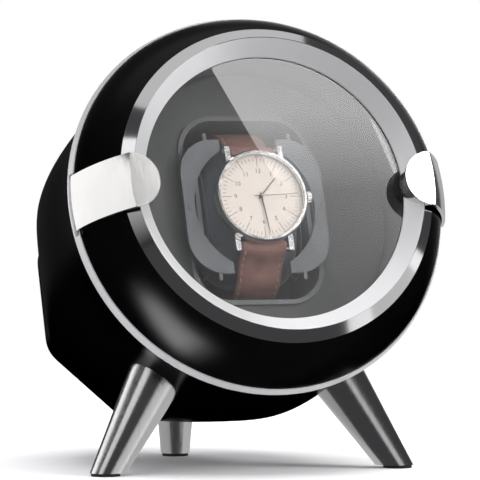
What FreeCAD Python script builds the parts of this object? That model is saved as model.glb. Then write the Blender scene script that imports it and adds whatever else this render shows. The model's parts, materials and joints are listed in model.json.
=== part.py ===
"""Watch winder on three legs: a tilted round head with a hinged glass window, a motor-driven
holder inside, and a watch strapped to the holder's cushion.

Head parts are drawn in the head's own frame: local Z is the head axis, pointing out of the
glass, local Y points up the face, and the origin is the centre of the seam ring. HEAD places
that frame in the part's frame, which stands on Z = 0 with +Z up and the glass facing -Y.
"""
import FreeCAD
import Part
import math
import os
import Sketcher

VEC = FreeCAD.Vector
doc = FreeCAD.newDocument("watch_winder")

# ---------------------------------------------------------------- driving dimensions, mm
DIMENSIONS = {
    "head_height": 111.5, "head_forward": 48.96, "head_tilt": 19.4,
    "ring_radius": 80.0, "ring_rear_radius": 81.3, "ring_depth": 4.2, "ring_bore": 77.6,
    "notch_half": 13.2, "notch_depth": 3.2,
    "wall": 2.5, "lip_radius": 67.4, "lip_height": 23.0, "lip_width": 2.0, "front_arc": 43.9,
    "fore_flat": 76.0, "mid_flat": 73.4, "aft_flat": 63.8, "rear_flat": 54.0,
    "rear_round": 6.0, "body_depth": 136.0, "rear_drop": 1.5, "cover_hole": 37.0,
    "cup_radius": 61.5, "cup_wall": 1.8, "cup_top": 19.0, "ledge_depth": 16.0,
    "well_radius": 47.5, "well_depth": 50.0, "flange_radius": 76.4,
    "bezel_edge": 62.8, "bezel_height": 26.8, "bezel_bore": 56.2, "bezel_inner": 20.7,
    "glass_radius": 57.6, "glass_thick": 1.5, "glass_front": 19.9, "seat_gap": 0.25,
    "clip_half": 11.5, "clip_thick": 1.3, "clip_heel": 81.4, "clip_heel_height": 0.6,
    "clip_bend": 66.0, "clip_height": 31.0, "clip_bow": 2.2,
    "pin_offset": 78.8, "pin_drop": 0.6, "pin_radius": 0.6, "barrel_radius": 1.5,
    "rotor_radius": 59.0, "rotor_front": 11.0, "rotor_thick": 2.0,
    "cradle_half_width": 29.0, "cradle_half_height": 41.0, "cradle_corner": 16.0,
    "cradle_floor": 47.0, "cradle_wall": 2.0,
    "shaft_radius": 3.0, "shaft_end": 69.0, "gear_front": 55.0, "gear_face": 6.0,
    "gear_module": 1.0, "gear_teeth": 60.0, "pinion_teeth": 15.0,
    "plate_front": 64.5, "plate_thick": 2.0, "plate_radius": 47.0, "post_circle": 42.5,
    "motor_radius": 12.0, "motor_length": 34.0,
    "cover_radius": 42.0, "cover_thick": 2.0, "cover_screw_circle": 39.4,
    "board_depth": 122.0, "board_thick": 1.6,
    "leg_foot_radius": 6.5, "leg_taper": 0.105, "leg_foot_x": 64.6, "leg_foot_y": 6.4,
    "leg_top_x": 41.8, "leg_top_y": 14.4, "leg_top_z": 36.5, "pad_height": 1.2,
    "rear_foot_y": 102.0, "rear_foot_radius": 6.2, "rear_foot_top_radius": 7.7,
    "rear_bolt_seat": 19.7,
    "pad_half_width": 22.6, "pad_half_height": 33.8, "pad_half_depth": 17.5,
    "pad_centre": 21.5, "strap_gap": 0.5, "strap_thick": 2.2, "strap_half": 10.0,
    "wing_front": 5.0, "wing_thick": 2.0, "core_thick": 1.8,
    "case_radius": 20.0, "watch_up": 1.6,
}
sheet = doc.addObject("Spreadsheet::Sheet", "dims")
for row, (alias, number) in enumerate(DIMENSIONS.items(), start=1):
    sheet.set("A%d" % row, alias)
    sheet.set("B%d" % row, str(number))
    sheet.setAlias("B%d" % row, alias)
doc.recompute()


class Size:
    """A length that knows its number and the sheet expression it comes from."""

    def __init__(self, value, text):
        self.value = float(value)
        self.text = text

    def combine(self, other, sign, value):
        return Size(value, "(%s %s %s)" % (self.text, sign, as_size(other).text))

    def __add__(self, other):
        return self.combine(other, "+", self.value + as_size(other).value)

    def __sub__(self, other):
        return self.combine(other, "-", self.value - as_size(other).value)

    def __mul__(self, other):
        return self.combine(other, "*", self.value * as_size(other).value)

    def __neg__(self):
        return Size(-self.value, "(0 - %s)" % self.text)


def as_size(number):
    return number if isinstance(number, Size) else Size(number, "%.6g" % number if number >= 0
                                                        else "(0 - %.6g)" % -number)


def size(alias):
    """The named cell, as a number and as an expression."""
    return Size(getattr(sheet, alias), "dims." + alias)


def mm(alias):
    """The named cell as a plain number, for shapes that are built in code."""
    return float(getattr(sheet, alias))


# ---------------------------------------------------------------- frames
TILT = math.radians(mm("head_tilt"))
HEAD_CENTRE = VEC(0, -mm("head_forward"), mm("head_height"))
HEAD = FreeCAD.Placement(HEAD_CENTRE, FreeCAD.Rotation(VEC(1, 0, 0), 90 - mm("head_tilt")))
BACK = HEAD.multiply(FreeCAD.Placement(VEC(0, -mm("rear_drop"), 0), FreeCAD.Rotation()))
nodes = {}


def keep(name, item, placement=HEAD):
    """Register a finished sub-part under its node name and put it in place.

    An object that already stands somewhere in its frame is wrapped, so that place is kept.
    """
    if item.ExpressionEngine and item.TypeId in ("Part::Cylinder", "Part::Box") \
            or not item.Placement.isIdentity():
        item = group(name + "_placed", [item])
    item.Label = name
    item.Placement = placement
    nodes[name] = item
    return item


def bind(item, **sizes):
    """Tie properties of an object to the sheet."""
    for name, number in sizes.items():
        item.setExpression(name, as_size(number).text)
    return item


# ---------------------------------------------------------------- modelling helpers
def arc_between(start, end, radius):
    """Arc that bulges to the right of the way it runs, or to the left if radius is negative."""
    along = end - start
    half = along.Length / 2
    normal = VEC(along.y, -along.x, 0).normalize() * math.copysign(1, radius)
    rise = math.sqrt(max(radius * radius - half * half, 0.0))
    centre = (start + end) / 2 - normal * rise
    middle = centre + normal * abs(radius)
    return Part.Arc(start, middle, end)


def closed_sketch(body, plane, corners, arcs=None, lift=None):
    """Sketch a closed outline on one of the body's own planes, every corner bound to the sheet.

    arcs maps the number of an edge to its radius; lift moves the sketch along the plane's normal.
    """
    arcs = arcs or {}
    sketch = body.newObject("Sketcher::SketchObject", body.Name + "_outline")
    support = [f for f in body.Origin.OriginFeatures if f.Role == plane][0]
    sketch.AttachmentSupport = [(support, "")]
    sketch.MapMode = "FlatFace"
    if lift is not None:
        sketch.setExpression(".AttachmentOffset.Base.z", as_size(lift).text)
    corners = [(as_size(x), as_size(y)) for x, y in corners]
    points = [VEC(x.value, y.value, 0) for x, y in corners]
    count = len(points)
    for edge in range(count):
        start, end = points[edge], points[(edge + 1) % count]
        if edge in arcs:
            sketch.addGeometry(arc_between(start, end, as_size(arcs[edge]).value))
        else:
            sketch.addGeometry(Part.LineSegment(start, end))
    # an arc that runs clockwise is stored the other way round, so its ends are looked up
    first = [1 if (sketch.getPoint(e, 1) - points[e]).Length < 1e-6 else 2 for e in range(count)]
    for edge in range(count):
        after = (edge + 1) % count
        sketch.addConstraint(Sketcher.Constraint("Coincident", edge, 3 - first[edge],
                                                 after, first[after]))
    for edge, (x, y) in enumerate(corners):
        for kind, number in (("DistanceX", x), ("DistanceY", y)):
            index = sketch.addConstraint(
                Sketcher.Constraint(kind, -1, 1, edge, first[edge], number.value))
            sketch.setExpression(".Constraints[%d]" % index, number.text)
    for edge, radius in arcs.items():
        radius = as_size(radius) if as_size(radius).value > 0 else -as_size(radius)
        index = sketch.addConstraint(Sketcher.Constraint("Radius", edge, radius.value))
        sketch.setExpression(".Constraints[%d]" % index, radius.text)
    return sketch


def turned(name, corners, arcs=None):
    """A body turned about the local Z axis from an outline of (radius, height) corners."""
    body = doc.addObject("PartDesign::Body", name)
    sketch = closed_sketch(body, "XZ_Plane", corners, arcs)
    feature = body.newObject("PartDesign::Revolution", name + "_turn")
    feature.Profile = sketch
    feature.ReferenceAxis = (sketch, ["V_Axis"])
    feature.Angle = 360
    return body


def padded(name, corners, bottom, thickness, arcs=None):
    """A body padded up the local Z axis from an outline of (x, y) corners."""
    body = doc.addObject("PartDesign::Body", name)
    sketch = closed_sketch(body, "XY_Plane", corners, arcs, bottom)
    feature = body.newObject("PartDesign::Pad", name + "_pad")
    feature.Profile = sketch
    bind(feature, Length=thickness)
    return body


def rod(name, radius, bottom, length, x=0.0, y=0.0):
    """A round bar along the local Z axis."""
    item = doc.addObject("Part::Cylinder", name)
    bind(item, Radius=radius, Height=length)
    item.setExpression(".Placement.Base.x", as_size(x).text)
    item.setExpression(".Placement.Base.y", as_size(y).text)
    item.setExpression(".Placement.Base.z", as_size(bottom).text)
    return item


def cross_rod(name, radius, half_length, x, z):
    """A round bar along the local Y axis, centred on y = 0."""
    item = doc.addObject("Part::Cylinder", name)
    bind(item, Radius=radius, Height=as_size(half_length) * 2)
    item.Placement = FreeCAD.Placement(VEC(0, 0, 0), FreeCAD.Rotation(VEC(1, 0, 0), -90))
    for letter, number in (("x", x), ("y", -as_size(half_length)), ("z", z)):
        item.setExpression(".Placement.Base." + letter, as_size(number).text)
    return item


def block(name, low, spans):
    """A box from its lowest corner and its three spans."""
    item = doc.addObject("Part::Box", name)
    bind(item, Length=spans[0], Width=spans[1], Height=spans[2])
    for letter, number in zip("xyz", low):
        item.setExpression(".Placement.Base." + letter, as_size(number).text)
    return item


def cut(name, base, *tools):
    """base less every tool."""
    for number, tool in enumerate(tools):
        last = number == len(tools) - 1
        item = doc.addObject("Part::Cut", name if last else "%s_step%d" % (name, number))
        item.Base = base
        item.Tool = tool
        base = item
    return base


def common(name, base, tool):
    """What base and tool share."""
    item = doc.addObject("Part::Common", name)
    item.Base = base
    item.Tool = tool
    return item


def fused(name, *items):
    """Several shapes joined into one."""
    item = doc.addObject("Part::MultiFuse", name)
    item.Shapes = list(items)
    return item


def group(name, items):
    """Identical fasteners kept as separate solids in one node."""
    item = doc.addObject("Part::Compound", name)
    item.Links = list(items)
    return item


def coded(name, shape):
    """A sub-part whose shape is worked out in code from the sheet."""
    item = doc.addObject("Part::Feature", name)
    item.Shape = shape if shape.Placement.isIdentity() else Part.makeCompound([shape])
    return item


def rounded_rectangle(half_x, half_y, corner):
    """Corners and arcs of a rounded rectangle, run anticlockwise."""
    x0, x1 = half_x - corner, half_x
    y0, y1 = half_y - corner, half_y
    corners = [(x1, -y0), (x1, y0), (x0, y1), (-x0, y1), (-x1, y0), (-x1, -y0), (-x0, -y1),
               (x0, -y1)]
    return corners, {1: corner, 3: corner, 5: corner, 7: corner}


def ring_points(radius, degrees):
    """Points on a circle about the head axis."""
    return [(radius * math.cos(math.radians(a)), radius * math.sin(math.radians(a)))
            for a in degrees]


def screw_group(name, places, head_radius, head_bottom, head_height, shank_radius, shank_bottom,
                shank_length):
    """Screws along the local Z axis at the given places."""
    screws = []
    for number, (x, y) in enumerate(places):
        head = rod("%s_head%d" % (name, number), head_radius, head_bottom, head_height, x, y)
        shank = rod("%s_shank%d" % (name, number), shank_radius, shank_bottom, shank_length, x, y)
        screws.append(fused("%s_%d" % (name, number), head, shank))
    return group(name, screws)


# ---------------------------------------------------------------- outer shells
ring_radius = size("ring_radius")
lip_radius = size("lip_radius")
lip_height = size("lip_height")
wall = size("wall")
SHELL_SCREWS = ring_points(71.0, (45, 135, 225, 315))
COVER_SCREWS = ring_points(mm("cover_screw_circle"), (45, 135, 225, 315))
POST_PLACES = ring_points(mm("post_circle"), (45, 135, 235, 305))


def magnet_disc(name, grow):
    """The catch magnet's disc behind the right clip, grown on every side by an amount."""
    disc = doc.addObject("Part::Cylinder", name)
    bind(disc, Radius=4.0 + grow, Height=2.4 + grow)
    disc.Placement = FreeCAD.Placement(VEC(70.2, 0, 9.2),
                                       FreeCAD.Rotation(VEC(0, 0, 1), VEC(0.877, 0, 0.48)))
    return disc


def make_front_shell():
    lip_bore = lip_radius - size("lip_width")
    body = turned("front_turning", [
        (ring_radius, 0), (lip_radius, lip_height), (lip_bore, lip_height),
        (lip_bore, lip_height - wall), (ring_radius - wall, 0)],
        {0: size("front_arc")})
    bosses = [rod("front_boss%d" % n, 3.2, -0.9, 9.0, x, y)
              for n, (x, y) in enumerate(SHELL_SCREWS)]
    holes = [rod("front_hole%d" % n, 1.5, -1.0, 8.0, x, y)
             for n, (x, y) in enumerate(SHELL_SCREWS)]
    notches = [block("front_notch%d" % n, (x, -size("notch_half"), -0.5),
                     (8.0, size("notch_half") * 2, 2.3)) for n, x in enumerate((-84.0, 76.0))]
    joined = fused("front_joined", body, *bosses)
    pocket = magnet_disc("magnet_pocket", 0.05)
    keep("front_shell", cut("front_shell_cut", joined, *holes, *notches, pocket))
    keep("catch_magnet", magnet_disc("magnet_body", 0.0))


def make_seam_ring():
    rear = -size("ring_depth")
    body = turned("ring_turning", [
        (size("ring_bore"), 0), (size("ring_bore"), rear), (size("ring_rear_radius"), rear),
        (ring_radius + 0.5, 0)])
    notches = [block("ring_notch%d" % n, (x, -size("notch_half"), -size("notch_depth")),
                     (8.0, size("notch_half") * 2, size("notch_depth") + 1.0))
               for n, x in enumerate((-84.0, 76.0))]
    pin_hole = cross_rod("ring_pin_hole", size("pin_radius"), 14.2, -size("pin_offset"),
                         -size("pin_drop"))
    keep("seam_ring", cut("seam_ring_cut", body, *notches, pin_hole))


def body_section(depth, flat, sharpness, drop, count=72):
    """Closed smooth outline at a depth: an octagon whose corners are rounder the lower sharpness is.

    Four pairs of facing sides are added as powers: at a sharpness of 6 they make a circle.
    """
    def sides(angle):
        return sum(abs(math.cos(angle - pair * math.pi / 4)) ** sharpness for pair in range(4))

    points = []
    for step in range(count):
        angle = 2 * math.pi * step / count
        radius = flat * (sides(0) / sides(angle)) ** (1 / sharpness)
        points.append(VEC(radius * math.cos(angle), radius * math.sin(angle) - drop, -depth))
    curve = Part.BSplineCurve()
    curve.interpolate(points, PeriodicFlag=True)
    return Part.Wire(curve.toShape())


def loft_solid(inset):
    """Solid of the rear body, its outside moved in by inset: smooth barrel, rounded end."""
    start, depth = mm("ring_depth"), mm("body_depth") - inset
    round_off = mm("rear_round") - inset * 0.5
    span = mm("body_depth") - mm("rear_round") - start
    barrel = [(0.0, mm("ring_rear_radius") - 0.1, 6), (0.25, mm("fore_flat"), 12),
              (0.5, mm("mid_flat"), 14), (0.75, mm("aft_flat"), 30)]
    sections = [body_section(start + share * span, flat - inset, sharp, share * mm("rear_drop"))
                for share, flat, sharp in barrel]
    for turn in (21, 44, 67, 90):
        angle = math.radians(turn)
        flat = mm("rear_flat") - inset - round_off * (1 - math.cos(angle))
        sections.append(body_section(depth - round_off * (1 - math.sin(angle)), flat, 40,
                                     mm("rear_drop")))
    side = Part.makeLoft(sections[:5], True, False)
    end = Part.makeLoft(sections[4:], True, True)
    return side.fuse(end)


def make_rear_shell():
    outer = loft_solid(0.0)
    inner = loft_solid(mm("wall"))
    drop = mm("rear_drop")
    opening = Part.makeCylinder(mm("cover_hole"), 20.0, VEC(0, -drop, -mm("body_depth") - 5))
    shell = main_solid(outer.cut(inner).cut(opening))
    for x, y in SHELL_SCREWS:
        reach = math.hypot(x, y)
        away = VEC(x / reach, y / reach, 0)
        boss = Part.makeCylinder(4.2, 16.0, VEC(x, y, -mm("ring_depth") - 16.0))
        rib = Part.makeBox(8.0, 3.0, 16.0, VEC(0, -1.5, 0))
        rib.Placement = FreeCAD.Placement(VEC(x, y, -mm("ring_depth") - 16.0),
                                          FreeCAD.Rotation(VEC(1, 0, 0), away))
        boss = boss.fuse(rib).common(outer)
        hole = Part.makeCylinder(1.7, 40.0, VEC(x, y, -mm("ring_depth") - 30.0))
        shell = shell.fuse(boss).cut(hole)
    for x, y in COVER_SCREWS:
        shell = shell.cut(Part.makeCylinder(1.2, 12.0, VEC(x, y - drop, -mm("body_depth") - 1.0)))
    for bolt in leg_bolt_shapes():
        shell = shell.cut(bolt)
    item = coded("rear_shell", main_solid(shell))
    keep("rear_shell", item)
    return outer


def main_solid(shape):
    """The biggest solid of a boolean's result."""
    return max(shape.Solids, key=lambda s: s.Volume)


# ---------------------------------------------------------------- legs and feet, part frame
def world(x, behind, height):
    """A point given by its side, how far behind the seam ring's centre, and its height."""
    return VEC(x, -mm("head_forward") + behind, height)


def leg_ends(side):
    foot = world(side * mm("leg_foot_x"), mm("leg_foot_y"), 0)
    top = world(side * mm("leg_top_x"), mm("leg_top_y"), mm("leg_top_z"))
    return foot, top


def to_head(shape):
    """A shape of the part's frame, expressed in the head's frame."""
    copy = shape.copy()
    copy.transformShape(HEAD.inverse().toMatrix())
    return copy


def leg_bolt_shapes(world_frame=False):
    """Bolts that hold the three legs, heads inside the rear shell."""
    bolts = []
    for side in (-1, 1):
        foot, top = leg_ends(side)
        along = (top - foot).normalize()
        seat = top + along * 4.6
        shank = Part.makeCylinder(2.5, 22.0, seat - along * 18.0, along)
        head = Part.makeCylinder(4.4, 3.5, seat + along * 2.0, along)
        bolts.append(shank.fuse(head))
    spot = world(0, mm("rear_foot_y"), 6.0)
    seat = mm("rear_bolt_seat")
    shank = Part.makeCylinder(2.0, seat - spot.z + 1.0, spot)
    head = Part.makeCylinder(3.4, 3.0, VEC(spot.x, spot.y, seat))
    bolts.append(shank.fuse(head))
    return bolts if world_frame else [to_head(b) for b in bolts]


def make_legs(outer):
    """Two splayed front legs and a short rear foot, their tops shaped to the shell."""
    shell_outside = outer.copy()
    shell_outside.transformShape(HEAD.toMatrix())
    bolts = leg_bolt_shapes(world_frame=True)
    below = 12.0
    for name, side in (("leg_left", -1), ("leg_right", 1)):
        foot, top = leg_ends(side)
        along = (top - foot).normalize()
        length = (top - foot).Length + 16.0
        taper = mm("leg_taper")
        foot_radius = mm("leg_foot_radius")
        leg = Part.makeCone(foot_radius - taper * below, foot_radius + taper * length,
                            length + below, foot - along * below, along)
        floor = Part.makeBox(60, 60, 30, VEC(foot.x - 30, foot.y - 30, mm("pad_height") - 30))
        leg = leg.cut(floor).cut(shell_outside)
        leg = min(leg.Solids, key=lambda s: s.CenterOfMass.z)
        for bolt in bolts:
            leg = leg.cut(bolt)
        keep(name, coded(name + "_shape", leg), FreeCAD.Placement())
        pad = rod(name.replace("leg", "foot_pad") + "_disc", 6.0, 0, size("pad_height"))
        keep(name.replace("leg", "foot_pad"), pad, FreeCAD.Placement(foot, FreeCAD.Rotation()))
    spot = world(0, mm("rear_foot_y"), 0)
    foot = Part.makeCone(mm("rear_foot_radius"), mm("rear_foot_top_radius"), 16.0,
                         VEC(spot.x, spot.y, mm("pad_height")))
    foot = foot.fuse(Part.makeCylinder(mm("rear_foot_top_radius"), 12.0,
                                       VEC(spot.x, spot.y, mm("pad_height") + 16.0)))
    foot = foot.cut(shell_outside)
    foot = min(foot.Solids, key=lambda s: s.CenterOfMass.z)
    for bolt in bolts:
        foot = foot.cut(bolt)
    keep("rear_foot", coded("rear_foot_shape", foot), FreeCAD.Placement())
    pad = rod("foot_pad_rear_disc", size("rear_foot_radius") - 0.6, 0, size("pad_height"))
    keep("foot_pad_rear", pad, FreeCAD.Placement(spot, FreeCAD.Rotation()))
    keep("leg_bolts", coded("leg_bolts_shape", Part.makeCompound(bolts)), FreeCAD.Placement())


# ---------------------------------------------------------------- lining and window
def make_inner_cup():
    wall_outer = size("cup_radius") + size("cup_wall")
    well_outer = size("well_radius") + 2.0
    ledge = -size("ledge_depth")
    well = -size("well_depth")
    body = turned("cup_turning", [
        (5.0, well - 2.0), (well_outer, well - 2.0), (well_outer, ledge - 2.0),
        (wall_outer, ledge - 2.0), (wall_outer, -3.0), (size("flange_radius"), -3.0),
        (size("flange_radius"), -1.0), (wall_outer, -1.0), (wall_outer, size("cup_top")),
        (size("cup_radius"), size("cup_top")), (size("cup_radius"), ledge),
        (size("well_radius"), ledge), (size("well_radius"), well), (5.0, well)])
    places = SHELL_SCREWS + POST_PLACES
    holes = [rod("cup_hole%d" % n, 1.7, -54.0, 54.0, x, y) for n, (x, y) in enumerate(places)]
    keep("inner_cup", cut("inner_cup_cut", body, *holes))


def bezel_corners():
    seat = lip_height + size("seat_gap")
    glass_rear = size("glass_front") - size("glass_thick")
    return [
        (lip_radius, seat), (size("bezel_edge"), size("bezel_height")),
        (size("bezel_bore"), size("bezel_inner")), (size("bezel_bore"), size("glass_front")),
        (size("glass_radius") + 0.1, size("glass_front")),
        (size("glass_radius") + 0.1, glass_rear), (size("glass_radius") + 1.2, glass_rear),
        (size("glass_radius") + 1.2, glass_rear + 2.2), (size("bezel_edge") - 0.6, seat)]


def make_window():
    glass_rear = size("glass_front") - size("glass_thick")
    keep("window_bezel", turned("bezel_turning", bezel_corners()))
    keep("window_glass", rod("glass_disc", size("glass_radius"), glass_rear, size("glass_thick")))
    keep("glass_gasket", turned("gasket_turning", [
        (56.0, glass_rear - 1.0), (57.4, glass_rear - 1.0), (57.4, glass_rear),
        (56.0, glass_rear)]))
    for side, name in ((-1, "left"), (1, "right")):
        make_clip(name, side)
    spacers = []
    backings = []
    for side in (-1, 1):
        tag = "left" if side < 0 else "right"
        disc = rod("spacer_disc_" + tag, size("clip_half") - 1.2, size("bezel_inner") - 0.8,
                   size("clip_height") - size("clip_thick") - size("bezel_inner") + 0.8,
                   65.0 * side)
        trim = turned("spacer_trim_" + tag, bezel_corners()[:3] + [(50.0, 20.7), (50.0, 10.0),
                                                                  (90.0, 10.0), (90.0, 23.25)])
        outside = turned("spacer_outside_" + tag, [(64.4, 15.0), (90.0, 15.0), (90.0, 35.0),
                                                   (64.4, 35.0)])
        spacers.append(cut("spacer_" + tag, disc, trim, outside))
        pad = rod("backing_disc_" + tag, 9.5, glass_rear - 1.2, 1.2, 62.0 * side)
        reach = rod("backing_reach_" + tag, 55.8, glass_rear - 2.0, 4.0)
        backings.append(common("backing_" + tag, pad, reach))
    keep("clip_spacers", group("clip_spacers_group", spacers))
    keep("clip_backings", group("clip_backings_group", backings))


def make_clip(name, side):
    """Chrome clip: a bowed plate from a rolled end on the seam ring to a round tab."""
    thick = size("clip_thick")
    heel = VEC(mm("clip_heel"), mm("clip_heel_height"), 0)
    bend = VEC(mm("clip_bend"), mm("clip_height"), 0)
    half = (bend - heel).Length / 2
    bow = mm("clip_bow")
    radius = (half * half + bow * bow) / (2 * bow)
    plate = turned("clip_plate_" + name, [
        (size("clip_heel"), size("clip_heel_height")), (size("clip_bend"), size("clip_height")),
        (size("clip_bend") - thick, size("clip_height") - thick * 0.7),
        (size("clip_heel") - thick, size("clip_heel_height"))],
        {0: radius, 2: -radius})
    window = block("clip_window_" + name, (84.0 * min(side, 0), -size("clip_half"), -5.0),
                   (84.0, size("clip_half") * 2, 45.0))
    sector = common("clip_sector_" + name, plate, window)
    tab = rod("clip_disc_" + name, size("clip_half"), size("clip_height") - thick, thick,
              (size("clip_bend") - 1.0) * side)
    within = rod("clip_within_" + name, size("clip_bend"), size("clip_height") - thick - 1.0, 4.0)
    tab = common("clip_tab_" + name, tab, within)
    barrel = cross_rod("clip_barrel_" + name, size("barrel_radius"), size("clip_half"),
                       size("pin_offset") * side, -size("pin_drop"))
    joined = fused("clip_joined_" + name, sector, tab, barrel)
    hole = cross_rod("clip_bore_" + name, size("pin_radius") + 0.04, size("clip_half") + 1.0,
                     size("pin_offset") * side, -size("pin_drop"))
    keep("clip_" + name, cut("clip_" + name + "_cut", joined, hole))


# ---------------------------------------------------------------- rotor and cushion
def make_rotor():
    disc_front = -size("rotor_front")
    outline, arcs = rounded_rectangle(size("cradle_half_width"), size("cradle_half_height"),
                                      size("cradle_corner"))
    disc_rear = disc_front - size("rotor_thick")
    disc = turned("rotor_turning", [
        (0, disc_rear), (size("rotor_radius"), disc_rear), (size("rotor_radius"), disc_front),
        (0, disc_front)])
    opening = padded("rotor_opening", outline, -20.0, 15.0, arcs)
    keep("rotor_disc", cut("rotor_disc_cut", disc, opening))
    floor = -size("cradle_floor")
    outside = padded("cradle_outside", outline, floor, size("cradle_floor") - size("rotor_front")
                     + 1.0, arcs)
    skin = size("cradle_wall")
    hollow, hollow_arcs = rounded_rectangle(size("cradle_half_width") - skin,
                                            size("cradle_half_height") - skin,
                                            size("cradle_corner") - skin)
    inside = padded("cradle_inside", hollow, floor + skin, 50.0, hollow_arcs)
    keep("holder_cradle", cut("cradle_cut", outside, inside))
    shaft = turned("shaft_turning", [
        (0, -size("shaft_end")), (size("shaft_radius"), -size("shaft_end")),
        (size("shaft_radius"), floor - 1.2), (12.0, floor - 1.2), (12.0, floor), (0, floor)])
    keep("rotor_shaft", shaft)
    gear = gear_shape(int(mm("gear_teeth")), mm("gear_module"), mm("gear_face"), 3.0)
    gear = gear.cut(Part.makeCylinder(mm("shaft_radius"), 20.0, VEC(0, 0, -5)))
    for x, y in ring_points(17.0, range(0, 360, 60)):
        gear = gear.cut(Part.makeCylinder(5.5, 20.0, VEC(x, y, -5)))
    gear.translate(VEC(0, 0, -mm("gear_front") - mm("gear_face")))
    keep("rotor_gear", coded("rotor_gear_shape", gear))
    keep("shaft_clip", turned("clip_ring_turning", [
        (size("shaft_radius"), -68.3), (5.0, -68.3), (5.0, -67.5), (size("shaft_radius"), -67.5)]))


def gear_shape(teeth, module, face, first_degrees):
    """Spur gear blank with 20 degree involute teeth and a little backlash."""
    pitch = teeth * module / 2
    base = pitch * math.cos(math.radians(20))
    tip, root = pitch + 0.9 * module, pitch - 1.2 * module
    backlash = 0.18

    def involute(angle):
        return math.tan(angle) - angle

    def half_angle(radius):
        angle = math.acos(min(base / max(radius, base), 1.0))
        half_pitch = math.pi / (2 * teeth) - backlash / (2 * pitch)
        return half_pitch + involute(math.radians(20)) - involute(angle)

    flank = [root, max(base, root + 0.1), pitch, tip]
    points = []
    for tooth in range(teeth):
        centre = math.radians(first_degrees) + 2 * math.pi * tooth / teeth
        for radius in flank:
            points.append((radius, centre - half_angle(radius)))
        for radius in reversed(flank):
            points.append((radius, centre + half_angle(radius)))
    corners = [VEC(r * math.cos(a), r * math.sin(a), 0) for r, a in points]
    outline = Part.makePolygon(corners + [corners[0]])
    return Part.Face(outline).extrude(VEC(0, 0, face))


def oval(grow):
    """Half height and half depth of the cushion's oval section, grown by an amount."""
    return mm("pad_half_height") + grow, mm("pad_half_depth") + grow


def oval_point(grow, degrees):
    """A point of the grown oval in the (y, z) plane; 90 degrees is its front."""
    high, deep = oval(grow)
    angle = math.radians(degrees)
    return high * math.cos(angle), deep * math.sin(angle) - mm("pad_centre")


def make_cushion():
    """Pillow with an oval section, its rigid core and the two grey holder wings."""
    high, deep = oval(0.0)
    half = mm("pad_half_width")
    ellipse = Part.Ellipse(VEC(0, 0, 0), high, deep).toShape()
    pillow = Part.Face(Part.Wire(ellipse)).extrude(VEC(0, 0, 2 * half))
    pillow.Placement = FreeCAD.Placement(
        VEC(-half, 0, -mm("pad_centre")), FreeCAD.Rotation(VEC(0, 1, 0), VEC(0, 0, 1), VEC(1, 0, 0)))
    inner_x = half + 0.5
    thick = mm("core_thick")
    wing_rear = mm("wing_front") + mm("wing_thick")
    back = mm("cradle_floor") - mm("cradle_wall") - 0.5
    cheeks = [block("core_cheek%d" % n, (x, -20.0, -back), (thick, 40.0, back - wing_rear))
              for n, x in enumerate((-inner_x - thick, inner_x))]
    plate = block("core_plate", (-inner_x, -20.0, -back), (2 * inner_x, 40.0, 1.5))
    keep("cushion_core", fused("cushion_core_joined", plate, *cheeks))
    outline, arcs = rounded_rectangle(31.0, 29.0, 15.0)
    frame = padded("wing_outline", outline, -wing_rear, size("wing_thick"), arcs)
    hole = Part.Face(Part.Wire(Part.Ellipse(VEC(0, 0, 0), 27.5, 26.4).toShape()))
    hole = hole.extrude(VEC(0, 0, 20))
    hole.Placement = FreeCAD.Placement(VEC(0, 0, -15), FreeCAD.Rotation(VEC(0, 0, 1), 90))
    oval_hole = coded("wing_oval", hole)
    slot = block("wing_slot", (-12.5, -40.0, -15.0), (25.0, 80.0, 20.0))
    ring = cut("wing_ring", frame, oval_hole, slot)
    room = cut("wing_room", padded("wing_room_outline", outline, -wing_rear - 0.3, 8.0, arcs),
               oval_hole, slot)
    keep("cushion_pad", cut("cushion_pad_cut", coded("cushion_pad_shape", pillow), room))
    for side, name in ((-1, "left"), (1, "right")):
        half_space = block("wing_side_" + name, (40.0 * min(side, 0), -40.0, -15.0),
                           (40.0, 80.0, 20.0))
        keep("holder_wing_" + name, common("wing_common_" + name, ring, half_space))


# ---------------------------------------------------------------- the watch on the cushion
STRAP_END = 20.4
BAR_PLACE = 21.2
BAR_HEIGHT = -1.5


def make_strap(name, side, end_degrees):
    """One half of the strap: from the lugs over the cushion's edge and round to the back."""
    near, far = mm("strap_gap"), mm("strap_gap") + mm("strap_thick")
    start = 50.0
    steps = 14
    angles = [start + (end_degrees - start) * k / steps for k in range(steps + 1)]
    lug_y, lug_z = STRAP_END + side * mm("watch_up"), -0.4
    outer = [(lug_y, lug_z)] + [oval_point(far, a) for a in angles]
    inner = [oval_point(near, a) for a in reversed(angles)] + [(lug_y, lug_z - 2.2)]
    corners = outer + inner
    if side < 0:
        corners = [(-y, z) for y, z in corners]
    half = mm("strap_half")
    points = [VEC(-half, y, z) for y, z in corners]
    face = Part.Face(Part.makePolygon(points + [points[0]]))
    bar_y = side * BAR_PLACE + mm("watch_up")
    bar = Part.makeCylinder(0.65, 2 * half + 2, VEC(-half - 1, bar_y, BAR_HEIGHT), VEC(1, 0, 0))
    keep(name, coded(name + "_shape", face.extrude(VEC(2 * half, 0, 0)).cut(bar)))


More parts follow.
